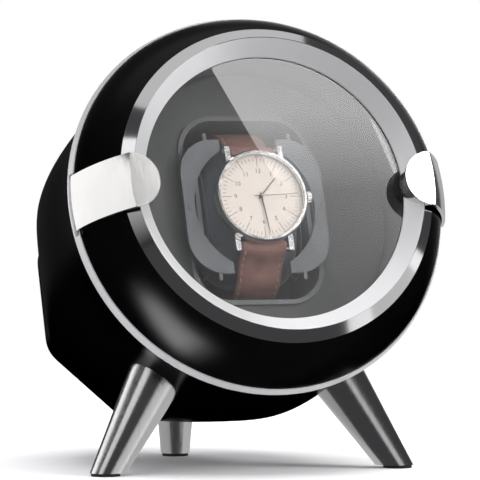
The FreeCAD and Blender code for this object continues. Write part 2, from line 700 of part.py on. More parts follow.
def make_watch():
    up = size("watch_up")
    case_radius = size("case_radius")
    rim = 18.4
    body = turned("case_turning", [
        (0, -3.3), (14.8, -3.3), (19.0, -1.2), (case_radius, 1.2), (case_radius, 3.4),
        (19.3, 4.8), (rim, 4.8), (rim, 2.0), (16.8, 2.0), (16.8, -2.0), (0, -2.0)])
    lugs = [block("lug%d" % n, (x, y, -2.8), (2.2, 7.5, 3.6))
            for n, (x, y) in enumerate(((10.5, 15.0), (-12.7, 15.0), (10.5, -22.5),
                                        (-12.7, -22.5)))]
    cavity = rod("case_cavity", 16.8, -2.0, 4.0)
    joined = cut("case_joined", fused("case_fused", body, *lugs), cavity)
    stem_hole = doc.addObject("Part::Cylinder", "stem_hole")
    bind(stem_hole, Radius=0.75, Height=10.0)
    stem_hole.Placement = FreeCAD.Placement(VEC(14.5, 0, 1.0), FreeCAD.Rotation(VEC(0, 1, 0), 90))
    watch = HEAD.multiply(FreeCAD.Placement(VEC(0, up.value, 0), FreeCAD.Rotation()))
    keep("watch_case", cut("watch_case_cut", joined, stem_hole), watch)
    keep("watch_movement", fused("movement_joined", rod("movement_disc", 16.4, -1.8, 3.4),
                                 rod("movement_post", 0.3, 1.5, 2.6)), watch)
    keep("watch_dial", cut("dial_cut", rod("dial_disc", 18.2, 2.05, 0.4),
                           rod("dial_hole", 0.6, 1.0, 3.0)), watch)
    keep("watch_crystal", turned("crystal_turning", [
        (0, 4.7), (18.3, 4.3), (18.3, 5.0), (0, 6.2)], {}), watch)
    hands = (("hour_hand", 10.8, 1.6, 0.45, 2.75, 1.2, 42.0),
             ("minute_hand", 16.0, 1.6, 0.4, 3.2, 0.95, 173.0),
             ("second_hand", 17.0, 3.6, 0.16, 3.65, 0.75, 87.0))
    for name, reach, tail, half, low, hub, clock_degrees in hands:
        blade = block(name + "_blade", (-half, -tail, low), (2 * half, reach + tail, 0.22))
        boss = rod(name + "_boss", hub, low, 0.28)
        hand = cut(name + "_cut", fused(name + "_joined", blade, boss),
                   rod(name + "_bore", 0.35, low - 1.0, 2.0))
        turn = FreeCAD.Placement(VEC(0, 0, 0), FreeCAD.Rotation(VEC(0, 0, 1), -clock_degrees))
        keep(name, hand, watch.multiply(turn))
    stem = doc.addObject("Part::Cylinder", "crown_stem")
    bind(stem, Radius=0.7, Height=3.5)
    stem.Placement = FreeCAD.Placement(VEC(17.2, 0, 1.0), FreeCAD.Rotation(VEC(0, 1, 0), 90))
    button = doc.addObject("Part::Cylinder", "crown_button")
    bind(button, Radius=2.4, Height=2.2)
    button.Placement = FreeCAD.Placement(VEC(20.4, 0, 1.0), FreeCAD.Rotation(VEC(0, 1, 0), 90))
    keep("watch_crown", fused("crown_joined", stem, button), watch)
    make_strap("strap_upper", 1, -72.0)
    make_strap("strap_lower", -1, -95.0)
    frame_low = -mm("pad_centre") - mm("pad_half_depth") - 3.9
    outer = block("buckle_outer", (-12.0, 0.0, frame_low), (24.0, 12.0, 1.1))
    inner = block("buckle_inner", (-10.4, 1.6, frame_low - 1.0), (20.8, 8.8, 4.0))
    keep("strap_buckle", cut("buckle_cut", outer, inner))
    bars = [cross_bar("spring_bar%d" % n, 0.6, 10.45, y, BAR_HEIGHT)
            for n, y in enumerate((BAR_PLACE, -BAR_PLACE))]
    keep("spring_bars", group("spring_bars_group", bars), watch)


def cross_bar(name, radius, half_length, y, z):
    """A round bar along the local X axis, centred on x = 0."""
    item = doc.addObject("Part::Cylinder", name)
    bind(item, Radius=radius, Height=2 * half_length)
    item.Placement = FreeCAD.Placement(VEC(-half_length, y, z),
                                       FreeCAD.Rotation(VEC(0, 1, 0), 90))
    return item


# ---------------------------------------------------------------- drive behind the lining
def make_drive():
    floor = -size("well_depth") - 2.0
    keep("front_bush", turned("front_bush_turning", [
        (3.04, floor - 0.6), (5.0, floor - 0.6), (5.0, floor + 2.0), (7.0, floor + 2.0),
        (7.0, floor + 2.8), (3.04, floor + 2.8)]))
    plate_front = -size("plate_front")
    plate_rear = plate_front - size("plate_thick")
    keep("rear_bush", turned("rear_bush_turning", [
        (3.04, plate_rear - 0.6), (5.0, plate_rear - 0.6), (5.0, plate_front),
        (6.5, plate_front), (6.5, plate_front + 1.0), (3.04, plate_front + 1.0)]))
    centre = -(mm("gear_teeth") + mm("pinion_teeth")) * mm("gear_module") / 2
    plate = rod("plate_disc", size("plate_radius"), plate_rear, size("plate_thick"))
    holes = [rod("plate_hole%d" % n, 1.6, -80.0, 30.0, x, y)
             for n, (x, y) in enumerate(POST_PLACES)]
    holes.append(rod("plate_bush_hole", 5.0, -80.0, 30.0))
    holes.append(rod("plate_pinion_hole", 5.0, -80.0, 30.0, 0, centre))
    keep("motor_plate", cut("motor_plate_cut", plate, *holes))
    posts = []
    for number, (x, y) in enumerate(POST_PLACES):
        post = rod("post%d" % number, 3.2, plate_front, floor - plate_front, x, y)
        bore = rod("post_bore%d" % number, 1.5, plate_front - 1.0, 30.0, x, y)
        posts.append(cut("post_cut%d" % number, post, bore))
    keep("plate_posts", group("plate_posts_group", posts))
    keep("plate_screws", screw_group("plate_screw", POST_PLACES, 2.8, plate_rear - 1.8, 1.8, 1.45,
                                     plate_rear, 9.0))
    radius = size("motor_radius")
    motor_top = plate_rear
    length = size("motor_length")
    can = rod("motor_can", radius, motor_top - length, length, 0, centre)
    boss = rod("motor_boss", 4.6, motor_top, 1.5, 0, centre)
    bore = rod("motor_bore", 1.6, motor_top - 10.0, 20.0, 0, centre)
    keep("gear_motor", cut("gear_motor_cut", fused("motor_joined", can, boss), bore))
    pinion = gear_shape(int(mm("pinion_teeth")), mm("gear_module"), mm("gear_face"), 18.0)
    pinion.translate(VEC(0, centre, -mm("gear_front") - mm("gear_face")))
    spindle = Part.makeCylinder(1.5, 20.0, VEC(0, centre, -mm("gear_front") - 20.0))
    keep("drive_pinion", coded("drive_pinion_shape", pinion.fuse(spindle).removeSplitter()))


# ---------------------------------------------------------------- controls on the back
KNOB = (-15.0, 6.0)
ROCKER = (15.0, 6.0)
INLET = (0.0, -20.0)
LAMP = (0.0, 20.0)


def make_back():
    outside = -size("body_depth") - size("cover_thick")
    face = turned("cover_turning", [
        (0, outside), (size("cover_radius") - 1.0, outside), (size("cover_radius"), outside + 1.0),
        (size("cover_radius"), outside + 2.0), (size("cover_hole") - 0.2, outside + 2.0),
        (size("cover_hole") - 0.2, outside + 4.0), (0, outside + 4.0)])
    holes = [rod("cover_knob_hole", 3.1, -152.0, 30.0, *KNOB),
             block("cover_rocker_hole", (ROCKER[0] - 5.0, ROCKER[1] - 8.0, -152.0),
                   (10.0, 16.0, 30.0)),
             rod("cover_inlet_hole", 4.6, -152.0, 30.0, *INLET),
             rod("cover_lamp_hole", 1.55, -152.0, 30.0, *LAMP)]
    holes += [rod("cover_screw_hole%d" % n, 1.4, -152.0, 30.0, x, y)
              for n, (x, y) in enumerate(COVER_SCREWS)]
    holes += [block("cover_vent%d" % n, (-10.0, y, -152.0), (20.0, 1.3, 30.0))
              for n, y in enumerate((-36.0, -33.4, -30.8, 27.0, 29.6))]
    keep("back_cover", cut("back_cover_cut", face, *holes), BACK)
    keep("cover_screws", screw_group("cover_screw", COVER_SCREWS, 2.6, outside - 1.2, 1.2, 1.2,
                                     outside, 8.0), BACK)
    board_top = -size("board_depth")
    board = block("board_block", (-25.0, -26.0, board_top - size("board_thick")),
                  (50.0, 52.0, size("board_thick")))
    keep("circuit_board", board, BACK)
    board_rear = board_top - size("board_thick")
    cover_front = outside + 4.0
    posts = [rod("board_post%d" % n, 2.4, cover_front, board_rear - cover_front, x, y)
             for n, (x, y) in enumerate(((-22, -23), (22, -23), (-22, 23), (22, 23)))]
    keep("board_posts", group("board_posts_group", posts), BACK)
    body = block("switch_block", (KNOB[0] - 6.0, KNOB[1] - 6.0, cover_front + 0.2),
                 (12.0, 12.0, board_rear - cover_front - 0.2))
    bore = rod("switch_bore", 2.05, -152.0, 26.0, *KNOB)
    keep("rotary_switch", cut("rotary_switch_cut", body, bore), BACK)
    knob = rod("knob_cap", 8.0, outside - 8.5, 8.0, *KNOB)
    mark = block("knob_mark", (KNOB[0] - 0.6, KNOB[1] + 2.0, outside - 9.5), (1.2, 7.0, 1.6))
    stem = rod("knob_stem", 2.0, outside - 2.0, 9.0, *KNOB)
    keep("mode_knob", fused("mode_knob_joined", cut("knob_marked", knob, mark), stem), BACK)
    shell = block("rocker_shell_block", (ROCKER[0] - 5.0, ROCKER[1] - 8.0, outside + 0.5),
                  (10.0, 16.0, board_rear - outside - 0.5))
    flange = block("rocker_flange", (ROCKER[0] - 6.5, ROCKER[1] - 9.5, outside - 1.2),
                   (13.0, 19.0, 1.2))
    well = block("rocker_well", (ROCKER[0] - 3.8, ROCKER[1] - 6.8, outside - 3.0),
                 (7.6, 13.6, 9.0))
    bridge = block("rocker_bridge", (ROCKER[0] - 5.0, ROCKER[1] - 8.0, outside),
                   (10.0, 16.0, 0.5))
    centre_z = outside.value + 1.0
    pivot_hole = coded("rocker_pivot_hole", Part.makeCylinder(
        0.95, 9.2, VEC(ROCKER[0] - 4.6, ROCKER[1], centre_z), VEC(1, 0, 0)))
    joined = fused("rocker_housing_joined", shell, flange, bridge)
    keep("rocker_housing", cut("rocker_housing_cut", joined, well, pivot_hole), BACK)
    angle = math.radians(9)
    outline = [(-6.3, 0.0), (-6.3, -3.2), (0.0, -1.4), (6.3, -3.2 + 1.2), (6.3, 0.0), (0.0, 2.4)]
    points = [VEC(ROCKER[0] - 3.5, ROCKER[1] + y * math.cos(angle), centre_z + z)
              for y, z in outline]
    paddle = Part.Face(Part.makePolygon(points + [points[0]])).extrude(VEC(7.0, 0, 0))
    pivot = Part.makeCylinder(0.9, 8.8, VEC(ROCKER[0] - 4.4, ROCKER[1], centre_z), VEC(1, 0, 0))
    keep("power_rocker", coded("power_rocker_shape", paddle.fuse(pivot)), BACK)
    barrel = rod("inlet_barrel", 4.5, outside - 0.8, 11.0, *INLET)
    socket = rod("inlet_socket", 2.75, outside - 1.0, 9.0, *INLET)
    pin = rod("inlet_pin", 1.05, outside + 0.6, 8.0, *INLET)
    keep("dc_inlet", fused("dc_inlet_joined", cut("inlet_hollow", barrel, socket), pin), BACK)
    lamp = rod("lamp_rod", 1.5, outside - 0.8, board_rear - outside + 0.8, *LAMP)
    keep("status_lamp", lamp, BACK)


def make_small_parts():
    keep("hinge_pin", cross_rod("hinge_pin_rod", size("pin_radius"), 14.2, -size("pin_offset"),
                                -size("pin_drop")))
    keep("shell_screws", screw_group("shell_screw", SHELL_SCREWS, 2.6, -23.4, 3.0, 1.45, -20.4,
                                     26.0))


# ---------------------------------------------------------------- build, check, write
make_front_shell()
make_seam_ring()
rear_outside = make_rear_shell()
make_legs(rear_outside)
make_inner_cup()
make_window()
make_rotor()
make_cushion()
make_watch()
make_drive()
make_back()
make_small_parts()
doc.recompute()

failed = [item.Name for item in doc.Objects
          if any(state in ("Invalid", "Error") for state in item.State)]
if failed:
    raise SystemExit("objects that did not compute: %s" % failed)
for name, item in nodes.items():
    if item.Shape.isNull() or not item.Shape.isValid() or item.Shape.Volume <= 0:
        raise SystemExit("bad shape: %s" % name)

os.makedirs("parts", exist_ok=True)
for name, item in nodes.items():
    item.Shape.exportStep("parts/%s.step" % name)
whole = Part.makeCompound([item.Shape for item in nodes.values()])
print("nodes", len(nodes), "box", whole.BoundBox)
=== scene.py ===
"""Finishes, soft pieces and studio for the watch winder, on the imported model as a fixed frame.

Head pieces are written in millimetres in the head's own frame: X to the right, Y up the face,
Z out of the glass, from the centre of the seam ring. HEAD places that frame in the row frame.
"""
import json
import math
import bmesh
import bpy
from mathutils import Matrix, Vector


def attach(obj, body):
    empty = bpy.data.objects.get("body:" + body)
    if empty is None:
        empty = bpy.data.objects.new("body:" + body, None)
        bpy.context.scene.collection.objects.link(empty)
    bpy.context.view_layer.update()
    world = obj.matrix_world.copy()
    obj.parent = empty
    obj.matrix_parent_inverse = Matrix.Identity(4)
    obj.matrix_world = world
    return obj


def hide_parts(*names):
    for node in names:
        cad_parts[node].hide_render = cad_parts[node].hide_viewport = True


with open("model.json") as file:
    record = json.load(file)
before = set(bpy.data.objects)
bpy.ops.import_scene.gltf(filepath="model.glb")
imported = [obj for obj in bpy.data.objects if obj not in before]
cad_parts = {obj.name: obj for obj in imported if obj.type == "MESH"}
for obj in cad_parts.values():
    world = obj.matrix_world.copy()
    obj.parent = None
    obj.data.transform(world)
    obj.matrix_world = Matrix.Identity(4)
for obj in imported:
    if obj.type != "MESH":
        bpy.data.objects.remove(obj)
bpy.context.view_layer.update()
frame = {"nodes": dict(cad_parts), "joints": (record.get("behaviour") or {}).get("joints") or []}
NODES = frame["nodes"]
JOINTS = {joint["name"]: joint for joint in frame["joints"]}
MM = 0.001

# ---------------------------------------------------------------- frames, from the joints
CENTRE = Vector(JOINTS["rotor_spin"]["pos_m"])
OUT = Vector(JOINTS["rotor_spin"]["axis"]).normalized()
# The window's hinge pin runs down the face, so up is against its axis.
UP = -Vector(JOINTS["window_hinge"]["axis"]).normalized()
RIGHT = UP.cross(OUT)
HEAD = Matrix.Translation(CENTRE) @ Matrix((RIGHT, UP, OUT)).transposed().to_4x4()
HUB = HEAD.inverted() @ Vector(JOINTS["minute_hand_turn"]["pos_m"])
WATCH = HEAD @ Matrix.Translation((0, HUB.y, 0))


def head(x, y, z):
    """A point of the head's frame, given in mm, in the row frame."""
    return HEAD @ Vector((x * MM, y * MM, z * MM))


# ---------------------------------------------------------------- materials
# Distance from the axis, in metres, where the bezel's polished rim meets its satin inner slope.
BEZEL_SLOPE_EDGE = 0.0626


class Finish:
    """One Principled material with procedural detail, in the object's own coordinates."""

    def __init__(self, name, colour, roughness, metallic=0.0, **sockets):
        self.material = bpy.data.materials.new(name)
        self.material.use_nodes = True
        self.tree = self.material.node_tree
        self.shader = self.tree.nodes["Principled BSDF"]
        self.shader.inputs["Base Color"].default_value = (*colour, 1)
        self.shader.inputs["Roughness"].default_value = roughness
        self.shader.inputs["Metallic"].default_value = metallic
        for socket, value in sockets.items():
            self.shader.inputs[socket.replace("_", " ")].default_value = value
        self.place = self.add("ShaderNodeTexCoord").outputs["Object"]
        self.height = None

    def add(self, kind, **settings):
        """A new shader node with the given properties."""
        node = self.tree.nodes.new(kind)
        for name, value in settings.items():
            setattr(node, name, value)
        return node

    def link(self, source, target):
        self.tree.links.new(source, target)

    def maths(self, operation, first, second=None):
        """One Math node on one or two values, each a number or another node's output."""
        node = self.add("ShaderNodeMath", operation=operation)
        for socket, value in zip(node.inputs, (first, second)):
            if isinstance(value, (int, float)):
                socket.default_value = value
            elif value is not None:
                self.link(value, socket)
        return node.outputs[0]

    def in_head(self):
        """Coordinates in the head's frame, still in metres."""
        turn = self.add("ShaderNodeMapping", vector_type="TEXTURE")
        turn.inputs["Location"].default_value = CENTRE
        turn.inputs["Rotation"].default_value = HEAD.to_euler()
        self.link(self.place, turn.inputs["Vector"])
        return turn.outputs["Vector"]

    def radius(self):
        """Distance from the head's axis, in metres."""
        flat = self.add("ShaderNodeVectorMath", operation="MULTIPLY")
        flat.inputs[1].default_value = (1, 1, 0)
        self.link(self.in_head(), flat.inputs[0])
        length = self.add("ShaderNodeVectorMath", operation="LENGTH")
        self.link(flat.outputs["Vector"], length.inputs[0])
        return length.outputs["Value"]

    def noise(self, size, stretch=(1, 1, 1), detail=3.0, place=None):
        """Noise whose features are about size metres across, longer where stretch is small."""
        scale = self.add("ShaderNodeVectorMath", operation="MULTIPLY")
        scale.inputs[1].default_value = [s / size for s in stretch]
        self.link(place or self.place, scale.inputs[0])
        node = self.add("ShaderNodeTexNoise")
        node.inputs["Scale"].default_value = 1.0
        node.inputs["Detail"].default_value = detail
        self.link(scale.outputs["Vector"], node.inputs["Vector"])
        return node.outputs["Fac"]

    def rings(self, size, detail=2.0):
        """Fine circular brushing round the head's axis."""
        join = self.add("ShaderNodeCombineXYZ")
        self.link(self.radius(), join.inputs["X"])
        return self.noise(size, detail=detail, place=join.outputs["Vector"])

    def remap(self, source, low, high, start=0.3, end=0.7):
        """Spread a source's range from start to end over the range from low to high."""
        node = self.add("ShaderNodeMapRange")
        self.link(source, node.inputs["Value"])
        node.inputs["From Min"].default_value = start
        node.inputs["From Max"].default_value = end
        node.inputs["To Min"].default_value = low
        node.inputs["To Max"].default_value = high
        return node.outputs["Result"]

    def rough(self, source, low, high, start=0.3, end=0.7):
        """Let the roughness follow a source."""
        self.link(self.remap(source, low, high, start, end), self.shader.inputs["Roughness"])
        return self

    def tint(self, source, colours, start=0.3, end=0.7):
        """Run the base colour through a list of colours as the source rises."""
        ramp = self.add("ShaderNodeValToRGB")
        spots = ramp.color_ramp.elements
        while len(spots) < len(colours):
            spots.new(0.5)
        for number, (spot, colour) in enumerate(zip(spots, colours)):
            spot.position = number / (len(colours) - 1)
            spot.color = (*colour, 1)
        self.link(self.remap(source, 0, 1, start, end), ramp.inputs["Fac"])
        self.link(ramp.outputs["Color"], self.shader.inputs["Base Color"])
        return self

    def relief(self, source, depth, strength=1.0):
        """Bump of about depth metres, stacked on any relief already there."""
        bump = self.add("ShaderNodeBump")
        bump.inputs["Distance"].default_value = depth
        bump.inputs["Strength"].default_value = strength
        self.link(source, bump.inputs["Height"])
        if self.height is not None:
            self.link(self.height, bump.inputs["Normal"])
        self.height = bump.outputs["Normal"]
        self.link(self.height, self.shader.inputs["Normal"])
        return self


def scaled(colour, factor):
    """A colour made darker or lighter."""
    return tuple(channel * factor for channel in colour)


def plastic(name, colour, roughness, grain, depth, gloss=0.5):
    """Moulded plastic: fine grain in the surface and slow changes of tone."""
    made = Finish(name, colour, roughness, Specular_IOR_Level=gloss)
    made.tint(made.noise(0.012), [scaled(colour, 0.85), scaled(colour, 1.15)])
    made.rough(made.noise(0.006), roughness * 0.85, roughness * 1.15)
    return made.relief(made.noise(grain), depth)


def metal(name, colour, roughness, streak=(1, 1, 0.05), size=0.0006, depth=1e-6):
    """Polished or brushed metal, with streaks drawn out along the small axis of streak."""
    made = Finish(name, colour, roughness, 1.0)
    lines = made.noise(size, streak)
    made.rough(lines, roughness * 0.7, roughness * 1.3)
    made.tint(made.noise(0.02), [scaled(colour, 0.94), colour])
    return made.relief(lines, depth)


def make_finishes():
    """Every finish of the object, by the name of its material slot."""
    made = {}
    black = (0.0012, 0.0012, 0.0013)
    shell = Finish("shell_black", black, 0.3, Specular_IOR_Level=0.14)
    shell.rough(shell.noise(0.02, detail=4), 0.28, 0.33)
    shell.tint(shell.noise(0.03), [scaled(black, 0.8), scaled(black, 1.3)])
    made["shell_black"] = shell.relief(shell.noise(0.012, detail=1), 4e-6, 0.3)
    made["back_black"] = plastic("back_black", (0.018, 0.018, 0.019), 0.5, 0.0005, 3e-5, 0.3)
    ring = Finish("ring_satin", (0.6, 0.6, 0.61), 0.34, 0.4)
    ring.rough(ring.rings(0.00025), 0.28, 0.42)
    made["ring_satin"] = ring.relief(ring.rings(0.0003), 4e-6)
    bezel = Finish("bezel_chrome", (0.86, 0.86, 0.87), 0.08, 1.0)
    inside = bezel.maths("LESS_THAN", bezel.radius(), BEZEL_SLOPE_EDGE)
    bezel.rough(inside, 0.1, 0.36, 0, 1)
    bezel.link(bezel.remap(inside, 1.0, 0.65, 0, 1), bezel.shader.inputs["Metallic"])
    bezel.tint(inside, [(0.88, 0.88, 0.89), (0.8, 0.8, 0.81)], 0, 1)
    made["bezel_chrome"] = bezel.relief(bezel.rings(0.00025), 1.5e-6)
    made["clip_chrome"] = metal("clip_chrome", (0.86, 0.85, 0.84), 0.16, (1, 0.06, 0.06),
                                depth=2e-7)
    made["backing_dark"] = plastic("backing_dark", (0.01, 0.01, 0.011), 0.4, 0.0006, 2e-5)
    made["leg_chrome"] = metal("leg_chrome", (0.8, 0.8, 0.81), 0.2, (1, 1, 0.04))
    made["pad_rubber"] = plastic("pad_rubber", (0.012, 0.012, 0.012), 0.75, 0.0006, 6e-5)
    made["gasket_rubber"] = plastic("gasket_rubber", (0.02, 0.02, 0.02), 0.6, 0.0006, 3e-5)
    glass = Finish("window_glass", (1, 1, 1), 0.0, Transmission_Weight=1.0, IOR=1.5)
    made["window_glass"] = glass.relief(glass.noise(0.05, detail=1), 2e-6, 0.2)
    crystal = Finish("watch_crystal", (1, 1, 1), 0.0, Transmission_Weight=1.0, IOR=1.12)
    made["watch_crystal"] = crystal.relief(crystal.noise(0.01, detail=1), 1e-6, 0.2)
    grey = (0.064, 0.067, 0.065)
    lining = Finish("lining_grey", grey, 0.6, Specular_IOR_Level=0.3)
    lining.tint(lining.noise(0.03), [scaled(grey, 0.85), scaled(grey, 1.15)])
    lining.rough(lining.noise(0.003), 0.5, 0.68)
    lining.relief(lining.noise(0.002, detail=2), 1e-5)
    made["lining_grey"] = lining
    made["cradle_black"] = plastic("cradle_black", (0.1, 0.105, 0.108), 0.6, 0.0006, 4e-5)
    made["wing_grey"] = plastic("wing_grey", (0.085, 0.089, 0.096), 0.42, 0.0007, 1e-5)
    made["watch_steel"] = metal("watch_steel", (0.8, 0.79, 0.78), 0.16, (1, 1, 1), 0.004, 2e-7)
    made["movement_brass"] = metal("movement_brass", (0.7, 0.55, 0.28), 0.3, (1, 1, 1), 0.0008)
    ivory = (0.52, 0.467, 0.425)
    dial = Finish("dial_ivory", ivory, 0.5, Specular_IOR_Level=0.3)
    dial.tint(dial.noise(0.006), [scaled(ivory, 0.97), scaled(ivory, 1.03)])
    made["dial_ivory"] = dial.relief(dial.noise(0.00012), 2e-6)
    made["hands_dark"] = metal("hands_dark", (0.16, 0.15, 0.15), 0.3, (1, 1, 1), 0.0006)
    made["fastener_steel"] = metal("fastener_steel", (0.5, 0.5, 0.51), 0.3, (1, 1, 1), 0.0008)
    made["bush_brass"] = metal("bush_brass", (0.6, 0.42, 0.2), 0.35, (1, 1, 1), 0.0008)
    made["gear_nylon"] = plastic("gear_nylon", (0.7, 0.69, 0.64), 0.5, 0.0008, 1e-5)
    made["plate_metal"] = metal("plate_metal", (0.55, 0.56, 0.57), 0.35, (1, 0.05, 1))
    made["board_green"] = plastic("board_green", (0.01, 0.09, 0.035), 0.4, 0.0008, 2e-5)
    made["post_nylon"] = plastic("post_nylon", (0.55, 0.54, 0.5), 0.5, 0.0008, 1e-5)
    made["switch_body"] = plastic("switch_body", (0.03, 0.03, 0.03), 0.45, 0.0006, 2e-5)
    made["inlet_black"] = plastic("inlet_black", (0.012, 0.012, 0.012), 0.4, 0.0006, 1e-5)
    lens = Finish("lamp_lens", (0.09, 0.35, 0.12), 0.18, Coat_Weight=0.5)
    made["lamp_lens"] = lens.relief(lens.noise(0.0006), 1e-5)
    made["magnet_nickel"] = metal("magnet_nickel", (0.62, 0.6, 0.57), 0.22, (1, 1, 1), 0.001)
    leather = Finish("strap_leather", (0.16, 0.07, 0.052), 0.5, Specular_IOR_Level=0.4)
    leather.tint(leather.noise(0.006, detail=6),
                 [(0.12, 0.055, 0.044), (0.18, 0.085, 0.07), (0.22, 0.115, 0.096)], 0.25, 0.75)
    leather.rough(leather.noise(0.002), 0.42, 0.6)
    leather.relief(leather.noise(0.0035, detail=2), 1e-4)
    cells = leather.add("ShaderNodeTexVoronoi", feature="DISTANCE_TO_EDGE")
    cells.inputs["Scale"].default_value = 1400
    leather.link(leather.place, cells.inputs["Vector"])
    leather.relief(leather.remap(cells.outputs["Distance"], 0, 1, 0, 0.2), 5e-5)
    made["strap_leather"] = leather
    made["stitch_thread"] = plastic("stitch_thread", (0.3, 0.21, 0.17), 0.7, 0.0002, 6e-5)
    made["cushion_fabric"] = make_weave()
    made["print_ink"] = plastic("print_ink", (0.045, 0.04, 0.035), 0.5, 0.0004, 2e-6)
    made["mark_paint"] = plastic("mark_paint", (0.6, 0.6, 0.58), 0.5, 0.0004, 4e-6)
    return made


def make_weave():
    """Dark blue-grey woven cloth: two crossed sets of threads, a little fuzz, slow changes."""
    base = (0.052, 0.062, 0.074)
    cloth = Finish("cushion_fabric", base, 0.85, Specular_IOR_Level=0.25, Sheen_Weight=0.35,
                   Sheen_Roughness=0.5)
    place = cloth.in_head()
    threads = []
    for direction in ("X", "Y"):
        wave = cloth.add("ShaderNodeTexWave", bands_direction=direction)
        wave.inputs["Scale"].default_value = 400
        wave.inputs["Distortion"].default_value = 0.6
        cloth.link(place, wave.inputs["Vector"])
        threads.append(wave.outputs["Fac"])
    woven = cloth.maths("MULTIPLY", *threads)
    cloth.relief(woven, 8e-5)
    cloth.relief(cloth.noise(0.0006, detail=6), 6e-5)
    mixed = cloth.maths("ADD", cloth.maths("MULTIPLY", woven, 0.4), cloth.noise(0.008))
    cloth.tint(mixed, [scaled(base, 0.65), base, scaled(base, 1.5)], 0.3, 1.0)
    return cloth


FINISHES = make_finishes()
NODE_SLOTS = {
    "shell_black": ["front_shell", "rear_shell"],
    "back_black": ["back_cover", "rocker_housing", "power_rocker"],
    "ring_satin": ["seam_ring"],
    "bezel_chrome": ["window_bezel"],
    "clip_chrome": ["clip_left", "clip_right", "clip_spacers"],
    "backing_dark": ["clip_backings"],
    "leg_chrome": ["leg_left", "leg_right", "rear_foot"],
    "pad_rubber": ["foot_pad_left", "foot_pad_right", "foot_pad_rear"],
    "gasket_rubber": ["glass_gasket"],
    "window_glass": ["window_glass"],
    "watch_crystal": ["watch_crystal"],
    "lining_grey": ["inner_cup", "rotor_disc"],
    "cradle_black": ["holder_cradle", "cushion_core"],
    "wing_grey": ["holder_wing_left", "holder_wing_right"],
    "watch_steel": ["watch_case", "strap_buckle", "spring_bars"],
    "movement_brass": ["watch_movement"],
    "dial_ivory": ["watch_dial"],
    "fastener_steel": ["leg_bolts", "plate_screws", "cover_screws", "shell_screws", "hinge_pin",
                       "shaft_clip", "rotor_shaft"],
    "bush_brass": ["front_bush", "rear_bush"],
    "gear_nylon": ["rotor_gear", "drive_pinion"],
    "plate_metal": ["motor_plate", "gear_motor"],
    "board_green": ["circuit_board"],
    "post_nylon": ["plate_posts", "board_posts"],
    "switch_body": ["rotary_switch"],
    "inlet_black": ["dc_inlet"],
    "lamp_lens": ["status_lamp"],
    "magnet_nickel": ["catch_magnet"],
}
for slot_name, node_names in NODE_SLOTS.items():
    for node_name in node_names:
        for slot in NODES[node_name].material_slots:
            slot.material = FINISHES[slot_name].material
for node_name in ("window_glass", "watch_crystal"):
    NODES[node_name].visible_shadow = False


# ---------------------------------------------------------------- mesh helpers
def add_piece(name, points, faces, body, slot_name, place=HEAD, finish=None, smooth=True):
    """A mesh given in mm in a local frame; it rides on a body and takes a slot's finish."""
    mesh = bpy.data.meshes.new(name)
    mesh.from_pydata([place @ (Vector(point) * MM) for point in points], [], faces)
    work = bmesh.new()
    work.from_mesh(mesh)
    bmesh.ops.recalc_face_normals(work, faces=work.faces)
    work.to_mesh(mesh)
    work.free()
    mesh.polygons.foreach_set("use_smooth", [smooth] * len(mesh.polygons))
    mesh.materials.append(FINISHES[finish or slot_name].material)
    piece = bpy.data.objects.new(name, mesh)
    bpy.context.collection.objects.link(piece)
    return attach(piece, body)


def soften(piece, width, segments=2, degrees=35):
    """Small rounded edges, and shading that stays sharp past them."""
    bevel = piece.modifiers.new("edges", "BEVEL")
    bevel.width = width
    bevel.segments = segments
    bevel.limit_method = "ANGLE"
    bevel.angle_limit = math.radians(degrees)
    bevel.harden_normals = True
    return piece


def loft(rings, caps=True):
    """Points and faces of a surface through equal rings of points."""
    count = len(rings[0])
    points = [point for ring in rings for point in ring]
    faces = []
    for row in range(len(rings) - 1):
        for column in range(count):
            after = (column + 1) % count
            faces.append((row * count + column, row * count + after,
                          (row + 1) * count + after, (row + 1) * count + column))
    if caps:
        faces.append(tuple(range(count))[::-1])
        faces.append(tuple(range((len(rings) - 1) * count, len(rings) * count)))
    return points, faces


class Heap:
    """Several small closed shapes gathered into one mesh."""

    def __init__(self):
        self.points = []
        self.faces = []

    def add(self, points, faces):
        """Take in one shape."""
        start = len(self.points)
        self.points.extend(points)
        self.faces.extend(tuple(start + index for index in face) for face in faces)

    def tube(self, path, radius, sides=8):
        """Round tube along a list of points, closed with rounded ends."""
        rings = []
        path = [Vector(point) for point in path]
        for number, point in enumerate(path):
            before, after = path[max(number - 1, 0)], path[min(number + 1, len(path) - 1)]
            along = (after - before).normalized()
            side = along.orthogonal().normalized() if not rings else \
                (side - along * side.dot(along)).normalized()
            other = along.cross(side)
            size = radius * (0.45 if number in (0, len(path) - 1) else 1.0)
            rings.append([point + (side * math.cos(turn) + other * math.sin(turn)) * size
                          for turn in (2 * math.pi * k / sides for k in range(sides))])
        self.add(*loft(rings))

    def bar(self, start, end, width, low, high):
        """Flat bar between two points of the XY plane."""
        start, end = Vector(start), Vector(end)
        across = Vector((-(end - start).y, (end - start).x)).normalized() * width / 2
        outline = [start - across, end - across, end + across, start + across]
        self.add(*loft([[(p.x, p.y, level) for p in outline] for level in (low, high)]))


# ---------------------------------------------------------------- dial print and hands
def text_mesh(words, height):
    """Points and faces of a line of type, centred on the origin."""
    curve = bpy.data.curves.new("type", "FONT")
    curve.body = words
    curve.size = height
    curve.align_x = "CENTER"
    curve.align_y = "CENTER"
    curve.extrude = 0.01
    curve.resolution_u = 3
    holder = bpy.data.objects.new("type", curve)
    mesh = bpy.data.meshes.new_from_object(holder)
    points = [vertex.co.copy() for vertex in mesh.vertices]
    faces = [tuple(polygon.vertices) for polygon in mesh.polygons]
    bpy.data.objects.remove(holder)
    bpy.data.curves.remove(curve)
    bpy.data.meshes.remove(mesh)
    return points, faces


